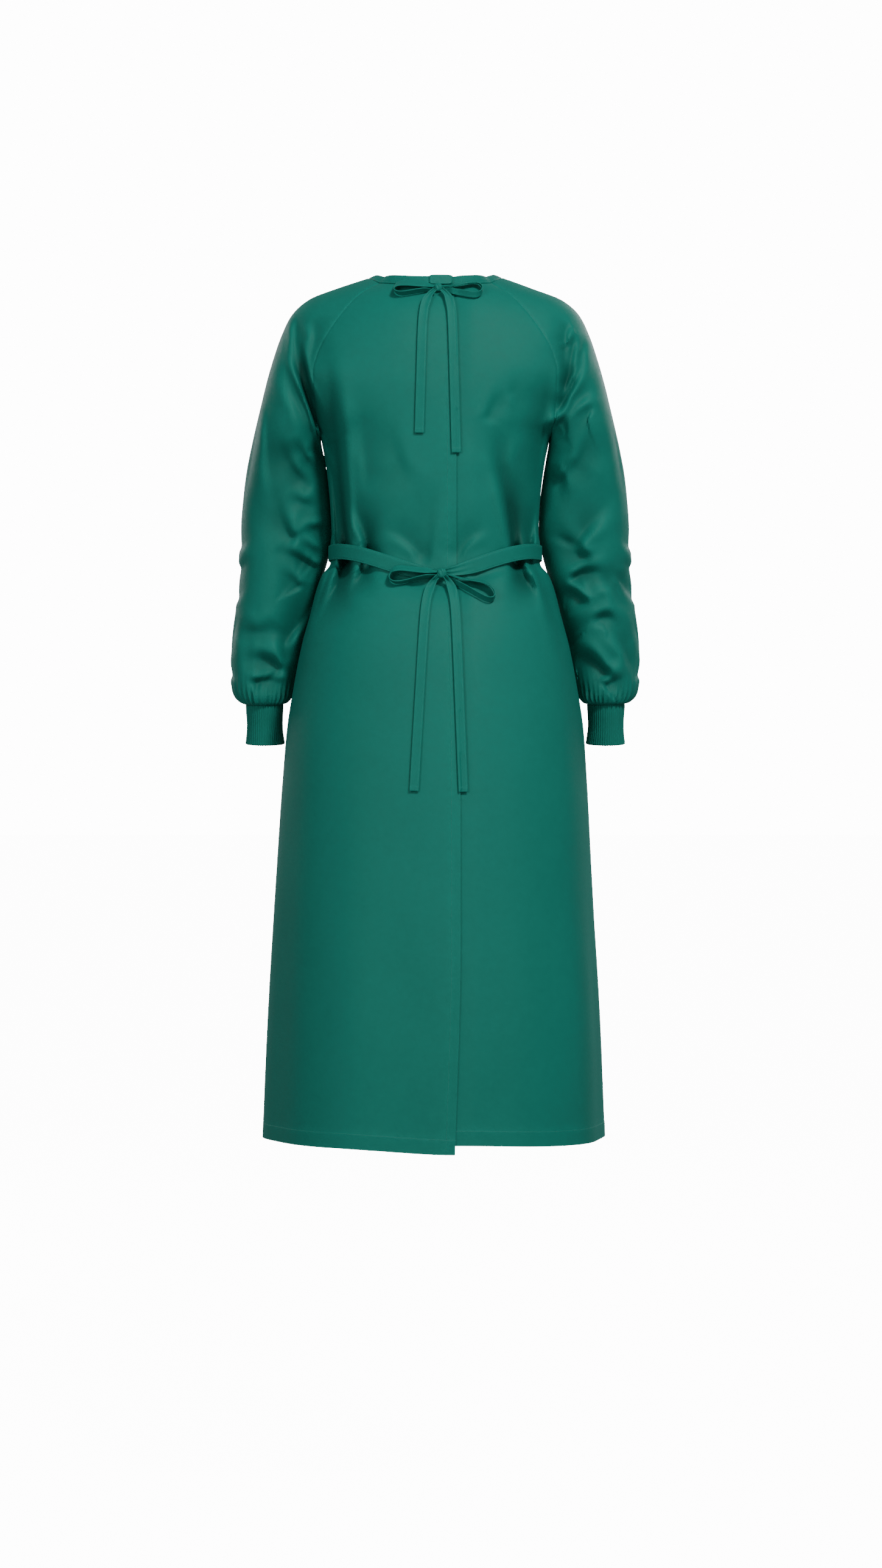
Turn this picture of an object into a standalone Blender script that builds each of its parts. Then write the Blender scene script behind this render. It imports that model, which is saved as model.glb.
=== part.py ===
"""A surgical gown as it is worn: raglan sleeves, knitted cuffs, a bound neck, an overlapping
back, and ties in bows at the neck and the waist. It keeps the hollow form of a wearer and
holds nobody. Metres, +Z up. The origin is level with the top of the shoulders, in the middle
of the neck opening. The back of the gown faces -Y, and the wearer's left is at -X."""

import math

import bmesh
import bpy
import numpy as np
from mathutils import Vector
from mathutils.bvhtree import BVHTree

# The cloth, and how pieces meet.
CLOTH = 0.0014  # wall of the panels and sleeves
SEAM_GAP = 0.0003  # between two pieces at a seam
LAP_GAP = 0.0011  # between the two layers of the back opening
LEFT, RIGHT = -1, 1

# The torso below the armholes, one row for each level.
TORSO = (
    # height, half width, back depth, front depth
    (-1.128, 0.2232, 0.187, 0.182),
    (-1.012, 0.2188, 0.183, 0.178),
    (-0.916, 0.2144, 0.178, 0.173),
    (-0.820, 0.2088, 0.172, 0.168),
    (-0.756, 0.2048, 0.168, 0.164),
    (-0.660, 0.1995, 0.162, 0.158),
    (-0.596, 0.1950, 0.157, 0.153),
    (-0.526, 0.1835, 0.149, 0.145),
    (-0.483, 0.1745, 0.143, 0.139),
    (-0.446, 0.1645, 0.136, 0.132),
    (-0.410, 0.1555, 0.127, 0.123),
    (-0.392, 0.1485, 0.119, 0.116),
    (-0.377, 0.1378, 0.110, 0.109),
    (-0.351, 0.1376, 0.110, 0.109),
    (-0.338, 0.1360, 0.111, 0.110),
    (-0.306, 0.1375, 0.115, 0.116),
    (-0.246, 0.1440, 0.120, 0.125),
    (-0.215, 0.1500, 0.121, 0.127),
)
TORSO_SQUARE = 2.2  # 2 is an ellipse, more is squarer

# The yoke, from the armhole's lowest point (0) to the neck seam (1), one row for each level.
YOKE = (
    # level, seam x, back seam z, front seam z, reach x, back, front, back z, front z
    (0.00, 0.1500, -0.2150, -0.2150, 0.1500, 0.1210, 0.1270, -0.2150, -0.2150),
    (0.12, 0.1550, -0.1970, -0.2000, 0.1720, 0.1205, 0.1270, -0.1920, -0.1950),
    (0.25, 0.1570, -0.1700, -0.1720, 0.1900, 0.1200, 0.1265, -0.1650, -0.1720),
    (0.40, 0.1585, -0.1350, -0.1400, 0.2115, 0.1180, 0.1250, -0.1350, -0.1480),
    (0.55, 0.1530, -0.1100, -0.1150, 0.2020, 0.1150, 0.1200, -0.1080, -0.1280),
    (0.70, 0.1390, -0.0830, -0.0900, 0.1885, 0.1100, 0.1110, -0.0830, -0.1100),
    (0.82, 0.1200, -0.0565, -0.0700, 0.1660, 0.1030, 0.0990, -0.0590, -0.0960),
    (0.92, 0.0950, -0.0300, -0.0500, 0.1255, 0.0930, 0.0860, -0.0380, -0.0840),
    (1.00, 0.0730, -0.0150, -0.0360, 0.0872, 0.0820, 0.0760, -0.0220, -0.0750),
)
YOKE_SQUARE = 2.3

# The top of the shoulder and upper arm as seen from behind, at the yoke's levels.
SHOULDER = (
    # level, x, z
    (0.00, 0.2370, -0.2030),
    (0.12, 0.2310, -0.1780),
    (0.25, 0.2235, -0.1470),
    (0.40, 0.2135, -0.1120),
    (0.55, 0.2020, -0.0780),
    (0.70, 0.1885, -0.0510),
    (0.82, 0.1660, -0.0315),
    (0.92, 0.1255, -0.0165),
    (1.00, 0.0872, -0.0030),
)

# The sleeve below the armhole. The forearm leans forward, so its rings rise to the front.
SLEEVE = (
    # height, outer x, inner x, centre y, half depth, rise to the front
    (-0.5600, 0.2520, 0.2010, 0.0450, 0.0320, 0.10),
    (-0.5585, 0.2560, 0.1975, 0.0450, 0.0360, 0.10),
    (-0.5545, 0.2610, 0.1935, 0.0450, 0.0405, 0.10),
    (-0.5490, 0.2655, 0.1896, 0.0445, 0.0430, 0.10),
    (-0.5400, 0.2690, 0.1872, 0.0440, 0.0450, 0.10),
    (-0.5260, 0.2706, 0.1842, 0.0430, 0.0465, 0.10),
    (-0.5000, 0.2716, 0.1787, 0.0415, 0.0485, 0.10),
    (-0.4830, 0.2706, 0.1748, 0.0405, 0.0500, 0.10),
    (-0.4460, 0.2660, 0.1648, 0.0385, 0.0525, 0.08),
    (-0.4240, 0.2630, 0.1590, 0.0370, 0.0545, 0.06),
    (-0.3944, 0.2604, 0.1500, 0.0355, 0.0570, 0.04),
    (-0.3690, 0.2592, 0.1425, 0.0340, 0.0590, 0.02),
    (-0.3380, 0.2574, 0.1362, 0.0320, 0.0610, 0.00),
    (-0.3000, 0.2545, 0.1378, 0.0280, 0.0625, 0.00),
    (-0.2600, 0.2490, 0.1422, 0.0180, 0.0625, 0.00),
    (-0.2090, 0.2370, 0.1500, 0.0000, 0.0600, 0.00),
)
ARM_TILT = 0.006  # how much the armhole's ring rises outwards, each way from its middle
ARM_DEPTH = 0.060
ARM_BLENDS_BY = 0.5  # the yoke level where the sleeve has become the shoulder's own curve

# The belt's line, and the pleats that it pinches into the cloth.
BELT_HEIGHT = -0.364
BELT_WIDTH = 0.020
BELT_THICK, BELT_GAP = 0.0016, 0.0010
BELT_DROP = 0.032  # the tied ends pull the middle of the back down
BELT_REACH = 0.10  # the height over which the cloth follows that drop
PINCHES = (
    # side, x, depth, width, length above, length below
    ("back", -0.1130, 0.0080, 0.0120, 0.130, 0.090),
    ("back", -0.0870, 0.0060, 0.0100, 0.060, 0.055),
    ("back", 0.0990, 0.0075, 0.0110, 0.110, 0.085),
    ("back", 0.1230, 0.0065, 0.0100, 0.065, 0.090),
    ("front", -0.1150, 0.0070, 0.0120, 0.090, 0.085),
    ("front", -0.0760, 0.0060, 0.0120, 0.070, 0.060),
    ("front", 0.0830, 0.0060, 0.0120, 0.060, 0.070),
    ("front", 0.1160, 0.0070, 0.0120, 0.095, 0.080),
)

# The largest folds: a trough from one point to the other, as seen from behind.
BODY_FOLDS = (
    # side, from x, from z, to x, to z, half width, depth
    ("back", -0.138, -0.165, -0.113, -0.335, 0.0130, 0.0090),
    ("back", 0.128, -0.190, 0.101, -0.335, 0.0130, 0.0080),
    ("front", -0.130, -0.180, -0.116, -0.330, 0.0130, 0.0080),
    ("front", 0.128, -0.190, 0.116, -0.325, 0.0130, 0.0075),
)
SLEEVE_FOLDS = (
    # side, from x, from z, to x, to z, half width, depth
    ("back", 0.194, -0.110, 0.174, -0.196, 0.0100, 0.0070),
    ("back", 0.166, -0.250, 0.216, -0.305, 0.0120, 0.0070),
    ("back", 0.196, -0.345, 0.160, -0.372, 0.0120, 0.0070),
    ("back", 0.240, -0.372, 0.176, -0.404, 0.0130, 0.0070),
    ("back", 0.196, -0.442, 0.236, -0.478, 0.0130, 0.0065),
    ("back", 0.256, -0.500, 0.212, -0.534, 0.0120, 0.0060),
    ("front", 0.194, -0.120, 0.176, -0.198, 0.0100, 0.0065),
    ("front", 0.172, -0.265, 0.222, -0.300, 0.0130, 0.0070),
    ("front", 0.236, -0.356, 0.178, -0.392, 0.0130, 0.0085),
    ("front", 0.240, -0.430, 0.192, -0.462, 0.0130, 0.0070),
    ("front", 0.250, -0.500, 0.206, -0.526, 0.0120, 0.0060),
)
GATHERS = 12  # waves where the sleeve is drawn into its cuff
GATHER_DEPTH = 0.0026
GATHER_LENGTH = 0.0065

# The back opening. The wearer's left panel laps over the right one.
LAP_EDGE = (
    # height, x of the left panel's free edge
    (-1.134, 0.0250),
    (-0.870, 0.0325),
    (-0.620, 0.0320),
    (-0.330, 0.0275),
    (-0.110, 0.0270),
    (-0.022, 0.0240),
)
UNDER_EDGE = -0.045  # the right panel's hidden edge
HEM_LEFT_DROP, HEM_RIGHT_RISE = 0.0063, 0.0050  # at the free edges

# Grid lines.
TORSO_ROWS = (
    -1.128, -0.980, -0.830, -0.700, -0.610, -0.540, -0.490, -0.455, -0.425,
    -0.402, -0.388, -0.377, -0.351, -0.330, -0.298, -0.262, -0.238, -0.215,
)
YOKE_ROWS = (0.09, 0.19, 0.31, 0.45, 0.58, 0.71, 0.83, 0.93, 1.0)
SLEEVE_ROWS = (
    -0.5600, -0.5585, -0.5545, -0.5480, -0.5340, -0.5100, -0.4840, -0.4580,
    -0.4320, -0.4060, -0.3800, -0.3540, -0.3260, -0.2960, -0.2660, -0.2360, -0.2090,
)
FRONT_COLUMNS, BACK_COLUMNS, LAP_COLUMNS, SLEEVE_COLUMNS = 24, 11, 4, 36
BELT_COLUMNS, LOOP_ROWS, TAIL_ROWS = 54, 17, 15

# The neck binding, the tab where its ends lap, and the cuffs.
BINDING_WIDTH, BINDING_THICK = 0.0120, 0.0020
BINDING_LEAN_BACK, BINDING_LEAN_SIDE, BINDING_LEAN_FRONT = 0.0030, 0.0112, 0.0060  # inwards
BINDING_UNDER = 0.0004  # extra depth where one end lies under the other
TAB = (-0.0075, 0.0230, -0.0210, -0.0087)  # left, right, bottom and top edges
TAB_THICK = 0.0016
CUFF = (
    # height, outer x, inner x, centre y, half depth
    (-0.6130, 0.2520, 0.2000, 0.0500, 0.0315),
    (-0.6040, 0.2508, 0.2015, 0.0492, 0.0310),
    (-0.5880, 0.2498, 0.2030, 0.0476, 0.0302),
    (-0.5610, 0.2512, 0.2018, 0.0450, 0.0310),
    (-0.5560, 0.2504, 0.2026, 0.0450, 0.0301),
)
CUFF_ROWS = (-0.6130, -0.6040, -0.5880, -0.5610, -0.5560)
CUFF_RISE = 0.10
CUFF_COLUMNS, CUFF_THICK = 28, 0.0016

# The bows. Each tie is a folded strip of the gown's cloth.
TIE_WIDTH, TIE_THICK = 0.0122, 0.0013
BOWS = {
    # knot's x and z, and its half width, half height and half depth
    "neck": (0.0041, -0.0272, 0.0052, 0.0054, 0.0046),
    "waist": (0.0086, -0.3967, 0.0062, 0.0064, 0.0050),
}
LOOPS = (
    # bow, hand, length, fall per length, opening, seen width of upper and lower run
    ("neck", LEFT, 0.0570, 0.03, 0.0080, 0.0092, 0.0048),
    ("neck", RIGHT, 0.0570, -0.02, 0.0125, 0.0022, 0.0082),
    ("waist", LEFT, 0.0675, 0.06, 0.0125, 0.0072, 0.0036),
    ("waist", RIGHT, 0.0680, 0.38, 0.0150, 0.0026, 0.0074),
)
TAILS = (
    # bow, hand, length, spread, distance to spread in, slant, lift at the knot
    ("neck", LEFT, 0.1905, 0.0190, 0.012, 0.028, 0.0040),
    ("neck", RIGHT, 0.2155, 0.0170, 0.010, 0.028, 0.0040),
    ("waist", LEFT, 0.2790, 0.0190, 0.014, 0.058, 0.0042),
    ("waist", RIGHT, 0.2800, 0.0160, 0.014, 0.040, 0.0070),
)

GREEN = (0.012, 0.168, 0.120, 1.0)
RIB_GREEN = (0.010, 0.130, 0.095, 1.0)


def table_at(table, keys):
    """A table's columns at the given keys, on a smooth curve that never overshoots a row."""
    rows = np.array(table, float)
    x, y = rows[:, 0], rows[:, 1:]
    step = np.diff(x)[:, None]
    slope = np.diff(y, axis=0) / step
    tangent = np.zeros_like(y)
    tangent[0], tangent[-1] = slope[0], slope[-1]
    before, after = slope[:-1], slope[1:]
    agree = before * after > 0
    near, far = 2 * step[1:] + step[:-1], step[1:] + 2 * step[:-1]
    safe = np.where(agree, before, 1.0), np.where(agree, after, 1.0)
    mean = (near + far) / (near / safe[0] + far / safe[1])
    tangent[1:-1] = np.where(agree, mean, 0.0)
    keys = np.clip(np.atleast_1d(np.asarray(keys, float)), x[0], x[-1])
    k = np.clip(np.searchsorted(x, keys, side="right") - 1, 0, len(x) - 2)
    h = step[k]
    t = (keys[:, None] - x[k, None]) / h
    return (
        (2 * t**3 - 3 * t**2 + 1) * y[k]
        + (t**3 - 2 * t**2 + t) * h * tangent[k]
        + (3 * t**2 - 2 * t**3) * y[k + 1]
        + (t**3 - t**2) * h * tangent[k + 1]
    )


def ease(value):
    """0 below 0, 1 above 1, and smooth between."""
    value = np.clip(value, 0.0, 1.0)
    return value * value * (3 - 2 * value)


def unit(vectors):
    return vectors / np.maximum(np.linalg.norm(vectors, axis=-1, keepdims=True), 1e-12)


def belt_drop(x, side, height):
    """How far the cloth at a level sags with the belt: most at the middle of the back."""
    if side == "front":
        return np.zeros_like(x)
    across = 1 - ease(np.abs(x) / 0.135)
    near_belt = np.exp(-(((height - BELT_HEIGHT) / BELT_REACH) ** 2))
    return BELT_DROP * across * near_belt


def torso_arc(height, side, samples=361):
    """Half a ring of the torso, from the wearer's left side seam to the right one."""
    half_width, back, front = table_at(TORSO, height)[0]
    angle = np.linspace(math.pi, 0, samples)
    power = 2 / TORSO_SQUARE
    x = half_width * np.sign(np.cos(angle)) * np.abs(np.cos(angle)) ** power
    depth = np.abs(np.sin(angle)) ** power
    y = front * depth if side == "front" else -back * depth
    z = height - belt_drop(x, side, height)
    return np.stack([x, y, z], axis=1)


def yoke_arc(level, side, samples=361):
    """A line across the yoke from one raglan seam to the other."""
    seam_x, back_seam, front_seam, reach, back, front, back_z, front_z = table_at(YOKE, level)[0]
    deep, seam_z, middle_z = (
        (front, front_seam, front_z) if side == "front" else (-back, back_seam, back_z)
    )
    x = np.sin(np.linspace(-1, 1, samples) * math.pi / 2) * seam_x
    y = deep * np.maximum(1 - np.abs(x / reach) ** YOKE_SQUARE, 0) ** (1 / YOKE_SQUARE)
    z = middle_z + (seam_z - middle_z) * np.abs(x / seam_x) ** 2.2
    return np.stack([x, y, z], axis=1)


def along(line, places):
    """Points of a line at the given lengths, counted from where it crosses x = 0."""
    length = np.concatenate([[0], np.cumsum(np.linalg.norm(np.diff(line, axis=0), axis=1))])
    length -= np.interp(0.0, line[:, 0], length)
    return np.stack([np.interp(places(length), length, line[:, k]) for k in range(3)], axis=1)


def front_row(line, height):
    return along(line, lambda run: np.linspace(run[0], run[-1], FRONT_COLUMNS + 1))


def lap_places(height):
    """The columns that both back panels share, under and over each other."""
    return np.linspace(UNDER_EDGE, table_at(LAP_EDGE, height)[0][0], LAP_COLUMNS + 1)


def back_left_row(line, height):
    lap = lap_places(height)
    return along(
        line,
        lambda run: np.append(np.linspace(run[0], lap[0], BACK_COLUMNS)[:-1], lap),
    )


def back_right_row(line, height):
    lap = lap_places(height)
    return along(
        line,
        lambda run: np.append(lap, np.linspace(lap[-1], run[-1], BACK_COLUMNS)[1:]),
    )


def body_grid(row, side):
    """A panel's grid of points, from the hem up to the neck seam."""
    rows = [row(torso_arc(z, side), z) for z in TORSO_ROWS]
    rows += [row(yoke_arc(s, side), table_at(YOKE, s)[0][6]) for s in YOKE_ROWS]
    return np.array(rows)


def hem_line(grid, rise):
    """Raises or lowers the hem towards the free edge, and lets the change die out upwards."""
    x, z = grid[..., 0], grid[..., 2]
    across = 1 - ease(np.abs(x - 0.03) / 0.16)
    low = np.exp(-(((z + 1.128) / 0.12) ** 2))
    grid[..., 2] += rise * across * low
    return grid


def armhole_point(level, side):
    """Where a yoke line meets the raglan seam on the wearer's right."""
    return yoke_arc(level, side, 3)[-1]


def arm_ring(turn, height):
    """A closed ring of the sleeve; turn is 0 at the outer side and +-pi at the seam inside."""
    outer, inner, centre_y, depth, rise = table_at(SLEEVE, height)[0]
    x = (outer + inner) / 2 + (outer - inner) / 2 * np.cos(turn)
    y = centre_y + depth * np.sin(turn)
    tilt = ARM_TILT * ease((height + 0.30) / 0.091)
    z = height + (y - centre_y) * rise + tilt * np.cos(turn)
    return np.stack([x, y, z], axis=1)


def shoulder_ring(turn, level):
    """A line of the sleeve over the shoulder, from the back raglan seam to the front one."""
    top_x, top_z = table_at(SHOULDER, level)[0]
    inner_x = SLEEVE[-1][2]
    middle_z = (top_z + TORSO[-1][0] + 0.10 * level) / 2
    arm = np.stack(
        [
            (top_x + inner_x) / 2 + (top_x - inner_x) / 2 * np.cos(turn),
            ARM_DEPTH * np.sin(turn),
            middle_z + (top_z - middle_z) * np.cos(turn),
        ],
        axis=1,
    )
    seam_x, back_seam, front_seam, _, back, front, _, _ = table_at(YOKE, level)[0]
    share = np.abs(turn) / math.pi
    widest = math.acos(min(1.0, (seam_x / top_x) ** (YOKE_SQUARE / 2)))
    depth = np.where(turn < 0, -back, front) * np.sin(share * widest) ** (2 / YOKE_SQUARE)
    seam_z = np.where(turn < 0, back_seam, front_seam)
    over = np.stack(
        [
            top_x * np.cos(share * widest) ** (2 / YOKE_SQUARE),
            depth,
            top_z + (seam_z - top_z) * share**1.7,
        ],
        axis=1,
    )
    mix = ease(level / ARM_BLENDS_BY)
    ring = arm * (1 - mix) + over * mix
    ends = {-1: armhole_point(level, "back"), 1: armhole_point(level, "front")}
    for sign, seam in ends.items():
        at = 0 if sign < 0 else -1
        pull = np.where(np.sign(turn) == sign, share, 0.0) ** 3
        ring = ring + pull[:, None] * (seam - ring[at])
    return ring


def gathers(turn, height):
    """The waves that the cuff draws into the sleeve's end."""
    up = (height - SLEEVE[0][0]) / GATHER_LENGTH + 0.15
    return GATHER_DEPTH * up * math.exp(1 - up) * np.cos(GATHERS * turn)


def sleeve_grid():
    """The wearer's right sleeve, from the cuff up over the shoulder to the neck seam."""
    turn = np.linspace(-math.pi, math.pi, SLEEVE_COLUMNS + 1)
    rows = []
    for height in SLEEVE_ROWS:
        ring = arm_ring(turn, height)
        centre = ring[:-1].mean(axis=0)
        ring += unit(ring - centre) * gathers(turn, height)[:, None]
        rows.append(ring)
    rows += [shoulder_ring(turn, level) for level in YOKE_ROWS]
    return np.array(rows)


def grid_faces(rows, columns, first=0):
    """Quads of a grid of points, wound so that a grid running left to right faces its viewer."""
    return [
        (a, a + 1, a + columns + 1, a + columns)
        for r in range(rows - 1)
        for a in range(first + r * columns, first + r * columns + columns - 1)
    ]


def face_normals(points, faces):
    corner = points[np.array(faces)]
    return np.cross(corner[:, 2] - corner[:, 0], corner[:, 3] - corner[:, 1])


def shared_normals(grids, facing):
    """Normals at every grid point, the same on both sides of each seam."""
    sums = {}
    for name, grid in grids.items():
        rows, columns = grid.shape[:2]
        points = grid.reshape(-1, 3)
        faces = grid_faces(rows, columns)
        normals = face_normals(points, faces) * facing[name]
        for face, normal in zip(faces, normals):
            for corner in face:
                key = tuple(np.round(points[corner], 5))
                sums[key] = sums.get(key, 0) + normal
    return {
        name: unit(
            np.array([sums[tuple(np.round(p, 5))] for p in grid.reshape(-1, 3)])
        ).reshape(grid.shape)
        for name, grid in grids.items()
    }


def turned_to(normals, side):
    """1 where the cloth is turned to that side, and 0 at the side seams and beyond."""
    return np.clip((normals[..., 1] if side == "front" else -normals[..., 1]) * 3, 0, 1)


def troughs(x, z, folds, side):
    """How deep the listed folds press in at each place."""
    depth = np.zeros(x.shape)
    place = np.stack([x, z], axis=-1)
    for where, x0, z0, x1, z1, width, deep in folds:
        if where != side:
            continue
        start, run = np.array([x0, z0]), np.array([x1 - x0, z1 - z0])
        share = np.clip(((place - start) @ run) / (run @ run), 0, 1)
        away = np.linalg.norm(place - start - share[..., None] * run, axis=-1)
        taper = np.sin(np.pi * np.clip(share * 0.8 + 0.1, 0, 1))
        depth += deep * np.exp(-((away / width) ** 2)) * taper
    return depth


def pinches(x, z, side):
    """How deep the pleats press in that fan out above and below the belt."""
    depth = np.zeros(x.shape)
    above = z - (BELT_HEIGHT - belt_drop(x, side, BELT_HEIGHT))
    for where, at, deep, width, up, down in PINCHES:
        if where != side:
            continue
        reach = np.where(above > 0, up, down)
        fade = np.clip(1 - np.abs(above) / reach, 0, 1) ** 1.5
        spread = width * (1 + np.abs(above) / 0.05)
        slant = at * (1 + np.where(above > 0, 0.15, 0.9) * np.abs(above))
        depth += deep * fade * np.exp(-(((x - slant) / spread) ** 2))
    return depth


def folded(grids, facing):
    """The panels and sleeves with their folds pressed in, alike on both sides of each seam."""
    normals = shared_normals(grids, facing)
    made = {}
    for name, grid in grids.items():
        x, z = grid[..., 0], grid[..., 2]
        depth = np.zeros(x.shape)
        for side in ("back", "front"):
            deep = troughs(x, z, BODY_FOLDS, side) + troughs(np.abs(x), z, SLEEVE_FOLDS, side)
            if not name.startswith("sleeve"):
                deep += pinches(x, z, side)
            depth += deep * turned_to(normals[name], side)
        made[name] = grid - normals[name] * depth[..., None]
    return made


def inset(grid, amount, edges):
    """Draws the named edges of a grid in from the seam line."""
    moved = grid.copy()
    pairs = {
        "first_column": (np.s_[:, 0], np.s_[:, 1]),
        "last_column": (np.s_[:, -1], np.s_[:, -2]),
        "first_row": (np.s_[0], np.s_[1]),
        "last_row": (np.s_[-1], np.s_[-2]),
    }
    for edge in edges:
        at, towards = pairs[edge]
        moved[at] = moved[at] + unit(grid[towards] - grid[at]) * amount
    return moved


def wall_mesh(name, outer, inner, outward, closed_rows=0):
    """One closed wall between two grids. The first closed_rows rows join up into a tube."""
    rows, columns = outer.shape[:2]
    count = rows * columns
    points = np.concatenate([outer.reshape(-1, 3), inner.reshape(-1, 3)])
    outside = grid_faces(rows, columns)
    faces = list(outside) + [tuple(count + i for i in reversed(f)) for f in outside]

    def rim(path):
        return [(b, a, count + a, count + b) for a, b in zip(path, path[1:])]

    bottom = list(range(columns))
    top = list(range((rows - 1) * columns, rows * columns))
    left = [r * columns for r in range(max(closed_rows - 1, 0), rows)]
    right = [r * columns + columns - 1 for r in range(max(closed_rows - 1, 0), rows)]
    faces += rim(bottom) + rim(top[::-1])
    if closed_rows < rows:
        faces += rim(right) + rim(left[::-1])
    if outward < 0:
        faces = [tuple(reversed(f)) for f in faces]
    same = np.arange(2 * count)
    for r in range(closed_rows):
        for layer in (0, count):
            same[layer + r * columns + columns - 1] = layer + r * columns
    used, index = np.unique(same, return_inverse=True)
    faces = [tuple(int(index[i]) for i in f) for f in faces]
    mesh = bpy.data.meshes.new(name)
    mesh.from_pydata([tuple(p) for p in points[used]], [], faces)
    mesh.update()
    mesh.shade_smooth()
    mesh.set_sharp_from_angle(angle=math.radians(50))
    return mesh


def material(name, colour, roughness):
    made = bpy.data.materials.new(name)
    made.use_nodes = True
    shader = made.node_tree.nodes["Principled BSDF"]
    shader.inputs["Base Color"].default_value = colour
    shader.inputs["Roughness"].default_value = roughness
    shader.inputs["Metallic"].default_value = 0.0
    made.diffuse_color = colour
    return made


def place(name, mesh, finish, gown):
    obj = bpy.data.objects.new(name, mesh)
    gown.objects.link(obj)
    mesh.materials.clear()
    mesh.materials.append(finish)
    return obj


def body_and_sleeves():
    """Grids of the three body panels and the two sleeves, meeting point for point at seams."""
    right = sleeve_grid()
    grids = {
        "front": body_grid(front_row, "front"),
        "back_left": hem_line(body_grid(back_left_row, "back"), -HEM_LEFT_DROP),
        "back_right": hem_line(body_grid(back_right_row, "back"), HEM_RIGHT_RISE),
        "sleeve_left": right * (LEFT, 1, 1),
        "sleeve_right": right,
    }
    facing = {"front": -1, "back_left": 1, "back_right": 1, "sleeve_left": -1, "sleeve_right": 1}
    return folded(grids, facing), facing


def under_lap(grid, normals):
    """Presses the right back panel in where the left one lies over it."""
    step = CLOTH + LAP_GAP
    push = np.zeros(grid.shape[:2])
    push[:, : LAP_COLUMNS + 1] = step
    return grid - normals * push[..., None]


def make_cloth(finish, gown):
    grids, facing = body_and_sleeves()
    normals = shared_normals(grids, facing)
    half = SEAM_GAP * 0.9
    seams = {
        "front": ("first_column", "last_column", "last_row"),
        "back_left": ("first_column", "last_row"),
        "back_right": ("last_column", "last_row"),
        "sleeve_left": ("last_row",),
        "sleeve_right": ("last_row",),
    }
    grids["back_right"] = under_lap(grids["back_right"], normals["back_right"])
    armhole, underarm = len(SLEEVE_ROWS) - 1, len(TORSO_ROWS) - 1
    for name, grid in grids.items():
        outer = inset(grid, half, seams[name])
        closed_rows = 0
        if name.startswith("sleeve"):
            closed_rows = armhole + 1
            outer[armhole + 1 :] = inset(
                outer[armhole + 1 :], half, ("first_column", "last_column")
            )
            outer[armhole, (0, -1)] += (2 * half * facing[name], 0, 0)
        else:
            for edge, column in (("first_column", 0), ("last_column", -1)):
                if edge in seams[name]:
                    corner = outer[underarm, column]
                    corner[0] -= 2 * half * np.sign(corner[0])
        inner = outer - normals[name] * CLOTH
        mesh = wall_mesh(name, outer, inner, facing[name], closed_rows)
        place(name, mesh, finish, gown)
    return grids


def make_cuffs(finish, gown):
    turn = np.linspace(-math.pi, math.pi, CUFF_COLUMNS + 1)
    for name, hand in (("cuff_left", LEFT), ("cuff_right", RIGHT)):
        walls = [], []
        for height in CUFF_ROWS:
            far, near, centre_y, depth = table_at(CUFF, height)[0]
            for wall, thick in zip(walls, (0, CUFF_THICK)):
                x = (far + near) / 2 + ((far - near) / 2 - thick) * np.cos(turn)
                y = centre_y + (depth - thick) * np.sin(turn)
                wall.append(np.stack([x * hand, y, height + (y - centre_y) * CUFF_RISE], axis=1))
        outer, inner = np.array(walls[0]), np.array(walls[1])
        mesh = wall_mesh(name, outer, inner, hand, len(CUFF_ROWS))
        place(name, mesh, finish, gown)


def make_binding(grids, finish, gown):
    """The strip that stands on the neck seam, from the hidden end round to the lapped one."""
    tops = [
        grids["back_right"][-2:],
        grids["sleeve_right"][-2:, ::3],
        grids["front"][-2:, ::-2],
        grids["sleeve_left"][-2:, ::-3],
        grids["back_left"][-2:],
    ]
    path = np.concatenate([tops[0]] + [top[:, 1:] for top in tops[1:]], axis=1)
    below, seam = path
    forward = unit(np.gradient(seam, axis=0))
    level_out = unit(np.cross(forward, (0, 0, 1)))
    sideways = np.abs(seam[:, 0]) / np.abs(seam[:, 0]).max()
    middle = np.where(seam[:, 1] > 0, BINDING_LEAN_FRONT, BINDING_LEAN_BACK)
    lean = middle + (BINDING_LEAN_SIDE - middle) * ease((sideways - 0.6) / 0.4)
    lean = lean[:, None]
    rise = np.sqrt(BINDING_WIDTH**2 - lean**2) * (0, 0, 1) - lean * level_out
    out = unit(np.cross(forward, rise))
    hidden = np.zeros(len(seam))
    hidden[: LAP_COLUMNS + 1] = BINDING_UNDER
    hidden[LAP_COLUMNS + 1] = BINDING_UNDER / 2
    foot = seam + unit(seam - below) * (SEAM_GAP + 0.0002) - out * hidden[:, None]
    outer = np.array([foot, foot + rise])
    inner = outer - out * BINDING_THICK
    place("neck_binding", wall_mesh("neck_binding", outer, inner, 1), finish, gown)


def make_belt(finish, gown):
    back = torso_arc(BELT_HEIGHT, "back")
    front = torso_arc(BELT_HEIGHT, "front")
    ring = np.concatenate([back, front[::-1][1:]])
    length = np.concatenate([[0], np.cumsum(np.linalg.norm(np.diff(ring, axis=0), axis=1))])
    even = np.linspace(0, length[-1], BELT_COLUMNS + 1)
    ring = np.stack([np.interp(even, length, ring[:, k]) for k in range(3)], axis=1)
    along_ring = np.concatenate([ring[-2:-1], ring, ring[1:2]])
    forward = along_ring[2:] - along_ring[:-2]
    out = unit(np.cross(forward, (0, 0, 1)))
    up = unit(np.cross(out, forward))
    edge = up * BELT_WIDTH / 2
    inner = np.array([ring - edge, ring + edge]) + out * BELT_GAP
    outer = inner + out * BELT_THICK
    place("belt", wall_mesh("belt", outer, inner, 1, 2), finish, gown)


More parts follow.
